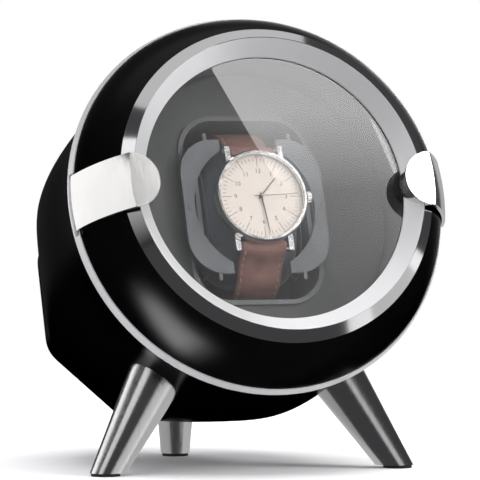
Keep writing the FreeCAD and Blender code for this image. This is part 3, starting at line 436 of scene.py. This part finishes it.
def on_dial(clock_degrees, radius):
    """A place on the dial, by its angle from twelve o'clock."""
    angle = math.radians(90 - clock_degrees)
    return Vector((radius * math.cos(angle), radius * math.sin(angle)))


DIAL_TOP = 2.45
MARK_OUTER = 16.6
PRINT_THICKNESS = 0.02
FLANGE_SECTION = [(18.2, 0.05), (17.95, 0.1), (18.05, 1.5), (18.35, 1.8), (18.38, 0.05)]


def make_dial_print():
    """Hour and minute marks, two rings of numbers, and the sloped ring round the dial."""
    heap = Heap()
    for minute in range(60):
        clock = 6 * minute
        inner, width = (12.9, 0.22) if minute % 5 == 0 else (15.2, 0.2)
        heap.bar(on_dial(clock, inner), on_dial(clock, MARK_OUTER), width, DIAL_TOP,
                 DIAL_TOP + PRINT_THICKNESS)
    for hour in range(1, 13):
        for words, height, radius in ((str(hour), 2.7, 11.0), (str(5 * hour), 1.25, 17.2)):
            points, faces = text_mesh(words, height)
            spot = on_dial(30 * hour, radius)
            heap.add([(p.x + spot.x, p.y + spot.y, DIAL_TOP + 0.012 + p.z) for p in points],
                     faces)
    add_piece("dial_print", heap.points, heap.faces, "cushion", "hands_dark", WATCH,
              finish="print_ink", smooth=False)
    rings = []
    for turn in (2 * math.pi * k / 96 for k in range(96)):
        rings.append([(r * math.cos(turn), r * math.sin(turn), DIAL_TOP + z)
                      for r, z in FLANGE_SECTION])
    points, faces = loft(rings + rings[:1], caps=False)
    add_piece("dial_flange", points, faces, "cushion", "watch_steel", WATCH)


def make_hand(node, reach, tail, root, tip, low, hub, clock_degrees):
    """Tapered hand with a ridge along the middle, a round hub and a short tail.

    The hand rides on the body that has its node's name. Root and tip are half widths.
    """
    turn = WATCH @ Matrix.Rotation(-math.radians(clock_degrees), 4, "Z")
    heap = Heap()
    rings = []
    for place, half in ((-tail, root * 0.8), (-tail * 0.4, root), (0, root * 1.1),
                        (reach * 0.5, root * 0.75), (reach * 0.93, tip), (reach, tip * 0.4)):
        rings.append([(-half, place, low), (half, place, low), (half, place, low + 0.1),
                      (0, place, low + 0.2), (-half, place, low + 0.1)])
    heap.add(*loft(rings))
    discs = []
    for radius, level in ((hub, low - 0.02), (hub, low + 0.2), (hub * 0.8, low + 0.27),
                          (0.36, low + 0.27)):
        discs.append([(radius * math.cos(a), radius * math.sin(a), level)
                      for a in (2 * math.pi * k / 24 for k in range(24))])
    heap.add(*loft(discs, caps=False))
    piece = add_piece(node + "_blade", heap.points, heap.faces, node, "hands_dark", turn,
                      smooth=False)
    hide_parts(node)


CROWN_LEVEL = 1.0


def make_crown():
    """Fluted winding crown with a domed end, on its stem."""
    rings = []
    count = 72
    flute_depth = 0.16
    for x, radius, flute in ((17.2, 0.7, 0), (20.4, 0.7, 0), (20.4, 2.1, 0), (20.55, 2.3, 0.5),
                             (20.75, 2.4, 1), (22.3, 2.4, 1), (22.5, 2.25, 0.5),
                             (22.58, 1.8, 0), (22.6, 0.6, 0)):
        ring = []
        for k in range(count):
            turn = 2 * math.pi * k / count
            reach = radius - flute_depth * flute * (k % 3 == 0)
            ring.append((x, reach * math.cos(turn), CROWN_LEVEL + reach * math.sin(turn)))
        rings.append(ring)
    points, faces = loft(rings)
    piece = add_piece("crown_fluted", points, faces, "crown", "watch_steel", WATCH, smooth=False)
    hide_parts("watch_crown")


make_dial_print()
make_hand("hour_hand", reach=10.8, tail=1.6, root=0.36, tip=0.2, low=2.75, hub=0.9,
          clock_degrees=42.0)
make_hand("minute_hand", reach=16.0, tail=1.6, root=0.32, tip=0.16, low=3.2, hub=0.8,
          clock_degrees=173.0)
make_hand("second_hand", reach=16.8, tail=3.6, root=0.12, tip=0.07, low=3.65, hub=0.6,
          clock_degrees=87.0)
make_crown()

# ---------------------------------------------------------------- strap
# The cushion's oval section (half height, half depth, centre behind the head's centre) and
# its half length.
PAD_HIGH, PAD_DEEP, PAD_BACK, PAD_HALF = 33.8, 17.5, 21.5, 22.6
STRAP_HALF = 10.0
STRAP_TAPER = 0.9
CASE_CLEAR = 20.6
HUGGING_RINGS = 4
STITCH_INSET = 1.7
STITCH_PITCH = 3.3
STITCH_HALF = 1.15
STITCH_FACE = 0.72


def oval_point(grow, degrees):
    """A point (y, z) of the cushion's oval section, grown by an amount; its front is at 90."""
    angle = math.radians(degrees)
    return ((PAD_HIGH + grow) * math.cos(angle), (PAD_DEEP + grow) * math.sin(angle) - PAD_BACK)


def strap_path(side, end_degrees):
    """Points (y, z) along the middle of one half of the strap, from the lugs to its end."""
    up = side * HUB.y / MM
    corners = [(20.2 + up, -0.6), (21.4 + up, -0.6), (22.4 + up * 0.9, -1.2),
               (23.1 + up * 0.7, -2.9), (23.2 + up * 0.4, -5.2)]
    start = 46.0
    steps = 40
    corners += [oval_point(1.6, start + (end_degrees - start) * k / steps)
                for k in range(steps + 1)]
    for _ in range(2):
        corners = [corners[0]] + [
            tuple((a + 2 * b + c) / 4 for a, b, c in zip(*trio))
            for trio in zip(corners, corners[1:], corners[2:])] + [corners[-1]]
    return [Vector((0, side * y, z)) for y, z in corners]


def strap_section(half, share):
    """Outline across the strap: flat back, padded front, rounded edges, a stitch groove."""
    groove = half - STITCH_INSET
    thin = 1.0 - 0.35 * max(0.0, (share - 0.55) / 0.45)
    front = [(-half, 0.0), (-half + 0.25, 0.42), (-half + 0.8, 0.62), (-groove - 0.35, 0.72),
             (-groove, 0.5), (-groove + 0.4, 0.78), (-half * 0.5, 0.98), (0, 1.05)]
    front += [(-x, z) for x, z in reversed(front[:-1])]
    rear = [(half - 0.2, -0.7), (half - 0.7, -1.0), (0, -1.05), (-half + 0.7, -1.0),
            (-half + 0.2, -0.7)]
    return [(x, z * thin) for x, z in front + rear]


def make_strap(node, side, end_degrees, stitches):
    """One strap half, curved to the case at its first rings, and its two rows of stitches."""
    path = strap_path(side, end_degrees)
    rings = []
    frames = []
    for number, point in enumerate(path):
        before, after = path[max(number - 1, 0)], path[min(number + 1, len(path) - 1)]
        along = (after - before).normalized()
        face = Vector((side, 0, 0)).cross(along)
        share = number / (len(path) - 1)
        half = STRAP_HALF - STRAP_TAPER * share
        frames.append((point, along, face, half))
        hug = max(0.0, 1 - number / HUGGING_RINGS)
        rings.append([point + Vector((x, 0, 0)) + face * z
                      - along * hug * (CASE_CLEAR - math.sqrt(CASE_CLEAR ** 2 - x * x))
                      for x, z in strap_section(half, share)])
    points, faces = loft(rings)
    piece = add_piece(node + "_leather", points, faces, "cushion", "strap_leather")
    smooth = piece.modifiers.new("smooth", "SUBSURF")
    smooth.levels = smooth.render_levels = 1
    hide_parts(node)
    length = 0.0
    due = 3.0
    for before, after in zip(frames, frames[1:]):
        step = (after[0] - before[0]).length
        while due <= length + step:
            mix = (due - length) / step
            point = before[0].lerp(after[0], mix)
            along = before[1].lerp(after[1], mix).normalized()
            face = before[2].lerp(after[2], mix).normalized()
            edge = before[3] - STITCH_INSET
            for x in (-edge, edge):
                middle = point + Vector((x, 0, 0)) + face * STITCH_FACE
                stitches.tube([middle - along * STITCH_HALF - face * 0.28, middle - along * 0.8,
                               middle + face * 0.06, middle + along * 0.8,
                               middle + along * STITCH_HALF - face * 0.28], 0.26, 6)
            due += STITCH_PITCH
        length += step


stitching = Heap()
make_strap("strap_upper", 1, -72.0, stitching)
make_strap("strap_lower", -1, -95.0, stitching)
add_piece("strap_stitching", stitching.points, stitching.faces, "cushion", "strap_leather",
          finish="stitch_thread")


# ---------------------------------------------------------------- cushion
PILLOW_SHARE = 0.93
WING_HOLE_X, WING_HOLE_Y, WING_FROM_X, WING_REAR = 25.6, 26.7, 11.5, -7.8
CLOTH_FRAMES = 20
CLOTH_CAP = 2.4
PIPING_PLACE = 20.4


def cushion_start():
    """Pillow with an oval section and rounded ends, a little smaller than its CAD solid."""
    rings = []
    for row in range(25):
        angle = math.pi * (row / 24 - 0.5)
        rounded = math.copysign(abs(math.sin(angle)) ** 0.55, math.sin(angle))
        across = rounded * PAD_HALF * PILLOW_SHARE
        size = max(math.cos(angle), 0.002) ** 0.5 * PILLOW_SHARE
        rings.append([(across, PAD_HIGH * size * math.cos(a),
                       PAD_DEEP * size * math.sin(a) - PAD_BACK)
                      for a in (2 * math.pi * k / 64 for k in range(64))])
    return loft(rings)


def fit_cushion(piece, start, cap):
    """Keep every point near where it started, inside the CAD solid and behind the wings."""
    to_head = HEAD.inverted()
    for vertex, old in zip(piece.data.vertices, start):
        move = vertex.co - old
        if move.length > cap * MM:
            vertex.co = old + move.normalized() * cap * MM
        x, y, z = (to_head @ vertex.co) / MM
        x = max(min(x, PAD_HALF - 0.2), 0.2 - PAD_HALF)
        reach = math.hypot(y / (PAD_HIGH - 0.3), (z + PAD_BACK) / (PAD_DEEP - 0.3))
        if reach > 1:
            y, z = y / reach, (z + PAD_BACK) / reach - PAD_BACK
        if abs(x) > WING_FROM_X and math.hypot(x / WING_HOLE_X, y / WING_HOLE_Y) > 1:
            z = min(z, WING_REAR)
        vertex.co = head(x, y, z)


def make_cushion():
    """The pillow, filled out as cloth under a little pressure, and the piping at its ends."""
    points, faces = cushion_start()
    piece = add_piece("cushion_pillow", points, faces, "cushion", "cushion_fabric")
    remesh = piece.modifiers.new("remesh", "REMESH")
    remesh.mode = "VOXEL"
    remesh.voxel_size = 0.0022
    bake_modifiers(piece)
    start = [vertex.co.copy() for vertex in piece.data.vertices]
    cloth = piece.modifiers.new("cloth", "CLOTH").settings
    cloth.use_pressure = True
    cloth.uniform_pressure_force = 4.0
    cloth.effector_weights.gravity = 0.0
    cloth.mass = 0.1
    for number in range(1, CLOTH_FRAMES + 1):
        bpy.context.scene.frame_set(number)
    bake_modifiers(piece)
    bpy.context.scene.frame_set(1)
    fit_cushion(piece, start, CLOTH_CAP)
    piece.data.polygons.foreach_set("use_smooth", [True] * len(piece.data.polygons))
    smooth = piece.modifiers.new("smooth", "SUBSURF")
    smooth.levels = smooth.render_levels = 1
    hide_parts("cushion_pad")
    seams = Heap()
    for x in (-PIPING_PLACE, PIPING_PLACE):
        loop = [(x, PAD_HIGH * 0.79 * math.cos(a), PAD_DEEP * 0.72 * math.sin(a) - PAD_BACK)
                for a in (2 * math.pi * k / 90 for k in range(91))]
        seams.tube(loop, 0.55, 8)
    add_piece("cushion_piping", seams.points, seams.faces, "cushion", "cushion_fabric")


def bake_modifiers(piece):
    """Turn what the modifiers make into the piece's own mesh."""
    depsgraph = bpy.context.evaluated_depsgraph_get()
    mesh = bpy.data.meshes.new_from_object(piece.evaluated_get(depsgraph))
    piece.modifiers.clear()
    old = piece.data
    piece.data = mesh
    bpy.data.meshes.remove(old)


make_cushion()


# ---------------------------------------------------------------- holder details
STUB_PLACE = 18.6
WING_FRONT = -5.0
MARK_PLACE = 29.2
MARK_WIDTH = 0.28


def make_holder_details():
    """Short stubs on the wings' ends and small dark L-shaped lines on their outer sides."""
    for side, name in ((-1, "left"), (1, "right")):
        stubs = Heap()
        for end in (-1, 1):
            outline = [(-0.8, 28.6), (0.8, 28.6), (0.8, 31.4), (0.4, 31.9), (-0.4, 31.9),
                       (-0.8, 31.4)]
            outline = [(side * STUB_PLACE + x, end * y) for x, y in outline]
            stubs.add(*loft([[(x, y, z) for x, y in outline] for z in (-6.9, -5.2)]))
        piece = add_piece("wing_stubs_" + name, stubs.points, stubs.faces, "cushion",
                          "wing_grey", smooth=False)
        soften(piece, 0.00015)
        marks = Heap()
        corner = side * MARK_PLACE
        for start, end in (((corner, 1.6), (corner, -1.6)),
                           ((corner, -1.5), (side * (MARK_PLACE - 1.6), -1.5))):
            marks.bar(start, end, MARK_WIDTH, WING_FRONT, WING_FRONT + 0.07)
        add_piece("wing_mark_" + name, marks.points, marks.faces, "cushion", "wing_grey",
                  finish="backing_dark", smooth=False)


make_holder_details()


# ---------------------------------------------------------------- controls on the back
KNURL_DEPTH = 0.3


def make_knob():
    """Knurled selector knob with a pointer line, over the CAD knob's own size."""
    knob = JOINTS["mode_knob_turn"]
    axis_point = HEAD.inverted() @ Vector(knob["pos_m"]) / MM
    local = [HEAD.inverted() @ v.co / MM for v in NODES["mode_knob"].data.vertices]
    outer = max(math.hypot(p.x - axis_point.x, p.y - axis_point.y) for p in local)
    near = max(p.z for p in local)
    far = min(p.z for p in local)
    stem = 3.0
    face = far + 8.4
    rings = []
    count = 96
    for z, radius, knurl in ((near, stem, 0), (face, stem, 0), (face, outer * 0.93, 0),
                             (face - 0.5, outer, 0.6), (face - 1.0, outer, 1),
                             (far + 1.2, outer * 0.96, 1), (far + 0.4, outer * 0.93, 0.5),
                             (far, outer * 0.82, 0), (far, outer * 0.2, 0)):
        ring = []
        for k in range(count):
            turn = 2 * math.pi * k / count
            reach = radius - KNURL_DEPTH * knurl * (k % 4 < 2)
            ring.append((axis_point.x + reach * math.cos(turn),
                         axis_point.y + reach * math.sin(turn), z))
        rings.append(ring)
    points, faces = loft(rings)
    piece = add_piece("knob_knurled", points, faces, "knob", "back_black", smooth=False)
    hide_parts("mode_knob")
    mark = Heap()
    mark.bar((axis_point.x, axis_point.y + outer * 0.25),
             (axis_point.x, axis_point.y + outer * 0.78), 0.9, far - 0.06, far)
    add_piece("knob_pointer", mark.points, mark.faces, "knob", "back_black",
              finish="mark_paint", smooth=False)


def make_cover_marks():
    """Painted dots round the knob, bars by the rocker and painted-shade crosses on the screws."""
    to_head = HEAD.inverted()
    face = min((to_head @ v.co).z for v in NODES["back_cover"].data.vertices) / MM
    paint = Heap()
    knob = to_head @ Vector(JOINTS["mode_knob_turn"]["pos_m"]) / MM
    rocker = to_head @ Vector(JOINTS["power_rocker_tilt"]["pos_m"]) / MM
    for degrees in range(0, 181, 45):
        way = Vector((math.cos(math.radians(degrees)), math.sin(math.radians(degrees))))
        inner = knob.xy + way * 9.6
        paint.bar(inner, inner + way * 1.3, 0.55, face - 0.03, face + 0.02)
    for shift in (-1, 1):
        start = rocker.xy + Vector((-0.9, shift * 11.4))
        paint.bar(start, start + Vector((1.8, 0)), 0.45, face - 0.03, face + 0.02)
    add_piece("cover_marks", paint.points, paint.faces, "housing", "back_black",
              finish="mark_paint", smooth=False)
    # Near-black crosses laid on the screw heads: painted shade where cut cross slots would be.
    slot_shade = Heap()
    heads = [to_head @ v.co / MM for v in NODES["cover_screws"].data.vertices]
    top = min(p.z for p in heads)
    middles = []
    for point in heads:
        if point.z < top + 0.05 and all((point.xy - m).length > 6 for m in middles):
            near = [p.xy for p in heads if p.z < top + 0.05 and (p.xy - point.xy).length < 6]
            low = Vector(map(min, *near))
            high = Vector(map(max, *near))
            middles.append((low + high) / 2)
    for middle in middles:
        for way in (Vector((0.8, 0.8)), Vector((0.8, -0.8))):
            slot_shade.bar(middle - way, middle + way, 0.45, top - 0.02, top + 0.05)
    add_piece("screw_slot_shade", slot_shade.points, slot_shade.faces, "housing", "fastener_steel",
              finish="backing_dark", smooth=False)


make_knob()
make_cover_marks()

# ---------------------------------------------------------------- camera
# The eye looks along VIEW_AHEAD from a distance, a little left of and below the head's centre.
EYE_DISTANCE, EYE_LEFT, EYE_BELOW = 1.854, 0.00776, 0.01544
YAW, PITCH = math.radians(20.6), math.radians(1.54)
VIEW_RIGHT = Vector((math.cos(YAW), -math.sin(YAW), 0))
VIEW_AHEAD = Vector((math.sin(YAW) * math.cos(PITCH), math.cos(YAW) * math.cos(PITCH),
                     -math.sin(PITCH)))
VIEW_UP = VIEW_RIGHT.cross(VIEW_AHEAD)
EYE = CENTRE - VIEW_RIGHT * EYE_LEFT - VIEW_UP * EYE_BELOW - VIEW_AHEAD * EYE_DISTANCE
camera_data = bpy.data.cameras.new("camera")
camera_data.lens = 337.5
camera_data.sensor_width = 36
camera_data.clip_end = 200
camera = bpy.data.objects.new("camera", camera_data)
camera.matrix_world = Matrix.Translation(EYE) @ Matrix(
    (VIEW_RIGHT, VIEW_UP, -VIEW_AHEAD)).transposed().to_4x4()
bpy.context.collection.objects.link(camera)
bpy.context.scene.camera = camera
bpy.context.scene.view_settings.view_transform = "Standard"


# ---------------------------------------------------------------- studio
def make_world():
    """White to the camera, dark grey in reflections, and a soft fill for matt surfaces."""
    world = bpy.data.worlds.new("studio")
    bpy.context.scene.world = world
    world.use_nodes = True
    tree = world.node_tree
    tree.nodes.clear()
    seen = tree.nodes.new("ShaderNodeBackground")
    seen.inputs["Color"].default_value = (1, 1, 1, 1)
    hidden = tree.nodes.new("ShaderNodeBackground")
    hidden.inputs["Color"].default_value = (0.05, 0.05, 0.052, 1)
    path = tree.nodes.new("ShaderNodeLightPath")
    fill = tree.nodes.new("ShaderNodeMapRange")
    fill.inputs["To Min"].default_value = 1.0
    fill.inputs["To Max"].default_value = 14.0
    tree.links.new(path.outputs["Is Diffuse Ray"], fill.inputs["Value"])
    tree.links.new(fill.outputs["Result"], hidden.inputs["Strength"])
    mix = tree.nodes.new("ShaderNodeMixShader")
    output = tree.nodes.new("ShaderNodeOutputWorld")
    tree.links.new(path.outputs["Is Camera Ray"], mix.inputs["Fac"])
    tree.links.new(hidden.outputs["Background"], mix.inputs[1])
    tree.links.new(seen.outputs["Background"], mix.inputs[2])
    tree.links.new(mix.outputs["Shader"], output.inputs["Surface"])


def make_floor():
    """Pale floor, lit near the object and fading to plain white far from it."""
    floor = Finish("floor_pale", (0.9, 0.9, 0.9), 0.9, Specular_IOR_Level=0.0)
    length = floor.add("ShaderNodeVectorMath", operation="LENGTH")
    floor.link(floor.place, length.inputs[0])
    fade = floor.remap(length.outputs["Value"], 0, 1, 0.35, 1.1)
    glow = floor.add("ShaderNodeEmission")
    glow.inputs["Color"].default_value = (1, 1, 1, 1)
    mix = floor.add("ShaderNodeMixShader")
    floor.link(fade, mix.inputs["Fac"])
    floor.link(floor.shader.outputs["BSDF"], mix.inputs[1])
    floor.link(glow.outputs["Emission"], mix.inputs[2])
    floor.link(mix.outputs["Shader"], floor.tree.nodes["Material Output"].inputs["Surface"])
    mesh = bpy.data.meshes.new("floor")
    corners = [(60 * math.cos(math.radians(a)), 60 * math.sin(math.radians(a)), -0.0001)
               for a in range(0, 360, 10)]
    mesh.from_pydata(corners, [], [tuple(range(len(corners)))])
    mesh.materials.append(floor.material)
    item = bpy.data.objects.new("floor", mesh)
    item.visible_glossy = False
    bpy.context.collection.objects.link(item)


def make_glow():
    """One emissive material for every card, as bright as the card's own corners say."""
    material = bpy.data.materials.new("card_glow")
    material.use_nodes = True
    tree = material.node_tree
    tree.nodes.clear()
    level = tree.nodes.new("ShaderNodeAttribute")
    level.attribute_name = "glow"
    light = tree.nodes.new("ShaderNodeEmission")
    output = tree.nodes.new("ShaderNodeOutputMaterial")
    tree.links.new(level.outputs["Fac"], light.inputs["Strength"])
    tree.links.new(light.outputs["Emission"], output.inputs["Surface"])
    return material


GLOW = make_glow()
GLASS_LEVEL = 19.9
FLOOR_CARD_LEVEL = -0.05
SHELLS = ("front_shell", "rear_shell")


def card(name, corners, glows):
    """A bright card that only reflections see.

    It has four corners in the row frame and a level of brightness at each.
    """
    steps = 6
    points, levels, faces = [], [], []
    for row in range(steps + 1):
        for column in range(steps + 1):
            u, v = column / steps, row / steps
            shares = ((1 - u) * (1 - v), u * (1 - v), u * v, (1 - u) * v)
            points.append(sum((corner * share for corner, share in zip(corners, shares)),
                              Vector()))
            levels.append(sum(glow * share for glow, share in zip(glows, shares)))
            if row < steps and column < steps:
                first = row * (steps + 1) + column
                faces.append((first, first + 1, first + steps + 2, first + steps + 1))
    mesh = bpy.data.meshes.new(name)
    mesh.from_pydata(points, [], faces)
    mesh.attributes.new("glow", "FLOAT", "POINT").data.foreach_set("value", levels)
    mesh.materials.append(GLOW)
    item = bpy.data.objects.new(name, mesh)
    for hidden_from in ("camera", "diffuse", "shadow", "transmission"):
        setattr(item, "visible_" + hidden_from, False)
    bpy.context.collection.objects.link(item)
    return item


def spare(item, nodes):
    """Keep a card's reflection out of some nodes."""
    unlit = bpy.data.collections.new(item.name + "_unlit")
    for place, node in enumerate(nodes):
        unlit.objects.link(NODES[node])
        unlit.collection_objects[place].light_linking.link_state = "EXCLUDE"
    item.light_linking.receiver_collection = unlit


def light_only(item, nodes):
    """Let a card or a lamp show in some nodes and nowhere else."""
    lit = bpy.data.collections.new(item.name + "_lit")
    for node in nodes:
        lit.objects.link(NODES[node])
    item.light_linking.receiver_collection = lit


def facing_card(name, direction, distance, width, height, glows):
    """A card centred in a direction from the head, turned to face it."""
    away = Vector(direction).normalized()
    side = away.cross(Vector((0, 0, 1))).normalized()
    above = side.cross(away)
    middle = CENTRE + away * distance
    corners = [middle + side * (width / 2 * x) + above * (height / 2 * y)
               for x, y in ((-1, -1), (1, -1), (1, 1), (-1, 1))]
    return card(name, corners, glows)


def glass_card(name, places, distance, glows):
    """A card whose mirror image in the window covers the given places of the glass, in mm.

    It shows in the window, the bright trim and the watch case, and not in the lining.
    """
    face = head(0, 0, GLASS_LEVEL)
    mirrored = EYE - OUT * 2 * (EYE - face).dot(OUT)
    corners = []
    for x, y in places:
        spot = head(x, y, GLASS_LEVEL)
        corners.append(spot + (spot - mirrored).normalized() * distance)
    light_only(card(name, corners, glows), ("window_glass", "window_bezel", "clip_left",
                                            "clip_right", "watch_case"))


def highlight(name, node, place, width, watts):
    """A lamp whose soft highlight falls on one spot of one node, and that lights nothing else."""
    where, spot = mirrored_place(node, place, 1.0)
    light_only(lamp(name, where, spot, width, width, watts, True), (node,))


def floor_card(name, outline, glows):
    """A card just under the floor, which stands in for a bright table in the metal parts."""
    spare(card(name, [Vector((x, y, FLOOR_CARD_LEVEL)) for x, y in outline], glows), SHELLS)


def lamp(name, place, target, width, height, watts, glossy=False):
    """A rectangular lamp aimed at a target; unless glossy, no reflection shows it."""
    data = bpy.data.lights.new(name, "AREA")
    data.shape = "RECTANGLE"
    data.size = width
    data.size_y = height
    data.energy = watts
    item = bpy.data.objects.new(name, data)
    item.location = place
    item.rotation_euler = (Vector(target) - Vector(place)).to_track_quat("-Z", "Y").to_euler()
    item.visible_glossy = glossy
    bpy.context.collection.objects.link(item)
    return item


def mirrored_place(node, place, distance):
    """Where a lamp must stand to be seen by the camera in one spot of a node's surface."""
    _, spot, normal, _ = NODES[node].closest_point_on_mesh(head(*place))
    to_eye = (EYE - spot).normalized()
    away = normal * 2 * normal.dot(to_eye) - to_eye
    return spot + away * distance, spot


make_world()
make_floor()
# Soft light on matt surfaces; no reflection shows these three lamps.
lamp("overhead", (0, -0.3, 2.2), (0, 0, 0.1), 2.4, 2.4, 62)
lamp("front_left", (-1.2, -1.6, 1.1), (0, 0, 0.1), 1.0, 1.2, 6)
lamp("front_right", (1.3, -1.3, 0.9), (0, 0, 0.1), 1.0, 1.2, 26)
# The soft spots on the black front shell.
highlight("soft_spot", "front_shell", (-54, -54, 11), 0.65, 26.0)
highlight("shoulder_light", "front_shell", (50, 56, 11), 0.6, 5.0)
# The window's reflection: a bright area with a slanting left edge, in three bands, and a
# dim area left of it.
glass_card("glass_card_top", [(-12.6, 32), (80, 32), (80, 75), (-32.4, 75)], 1.0,
           [9.5, 9.5, 10.0, 10.0])
glass_card("glass_card_middle", [(3.1, -2), (80, -2), (80, 32), (-12.6, 32)], 1.0,
           [2.2, 6.0, 9.5, 9.5])
glass_card("glass_card_low", [(29.8, -60), (80, -60), (80, -2), (3.1, -2)], 1.0,
           [1.6, 2.2, 6.0, 2.2])
glass_card("glass_card_dim", [(-90, -60), (32.8, -60), (-29.4, 75), (-90, 75)], 1.05,
           [0.0, 1.6, 1.6, 0.0])
# The surroundings that the shiny pieces reflect. The two shells don't show four of them.
spare(facing_card("left_card", (-0.93, 0.33, 0.12), 1.2, 1.9, 1.0, [0.9, 1.2, 1.25, 1.0]), SHELLS)
facing_card("front_right_card", (0.5, -0.83, -0.1), 1.25, 1.0, 0.5, [0.75, 0.5, 0.5, 0.75])
floor_card("floor_card_left", [(-1.8, -0.5), (0, -0.03), (0, 1.2), (-1.8, 1.2)],
           [0.35, 0.35, 0.5, 0.5])
floor_card("floor_card_right", [(0, -0.03), (1.8, -1.2), (1.8, 1.2), (0, 1.2)],
           [0.5, 0.6, 0.5, 0.5])
spare(facing_card("right_card", (0.92, -0.36, -0.3), 1.2, 0.9, 0.6, [1.0, 0.8, 0.8, 1.0]), SHELLS)
facing_card("rear_right_card", (0.54, 0.8, 0.15), 1.3, 0.8, 0.9, [0.35, 0.35, 0.7, 0.6])
facing_card("front_left_card", (-0.74, -0.5, 0.4), 1.2, 0.6, 1.0, [0.0, 0.0, 1.1, 1.1])
facing_card("top_card", (0.0, 0.2, 1.0), 1.2, 1.5, 1.3, [0.45, 0.5, 0.65, 0.55])
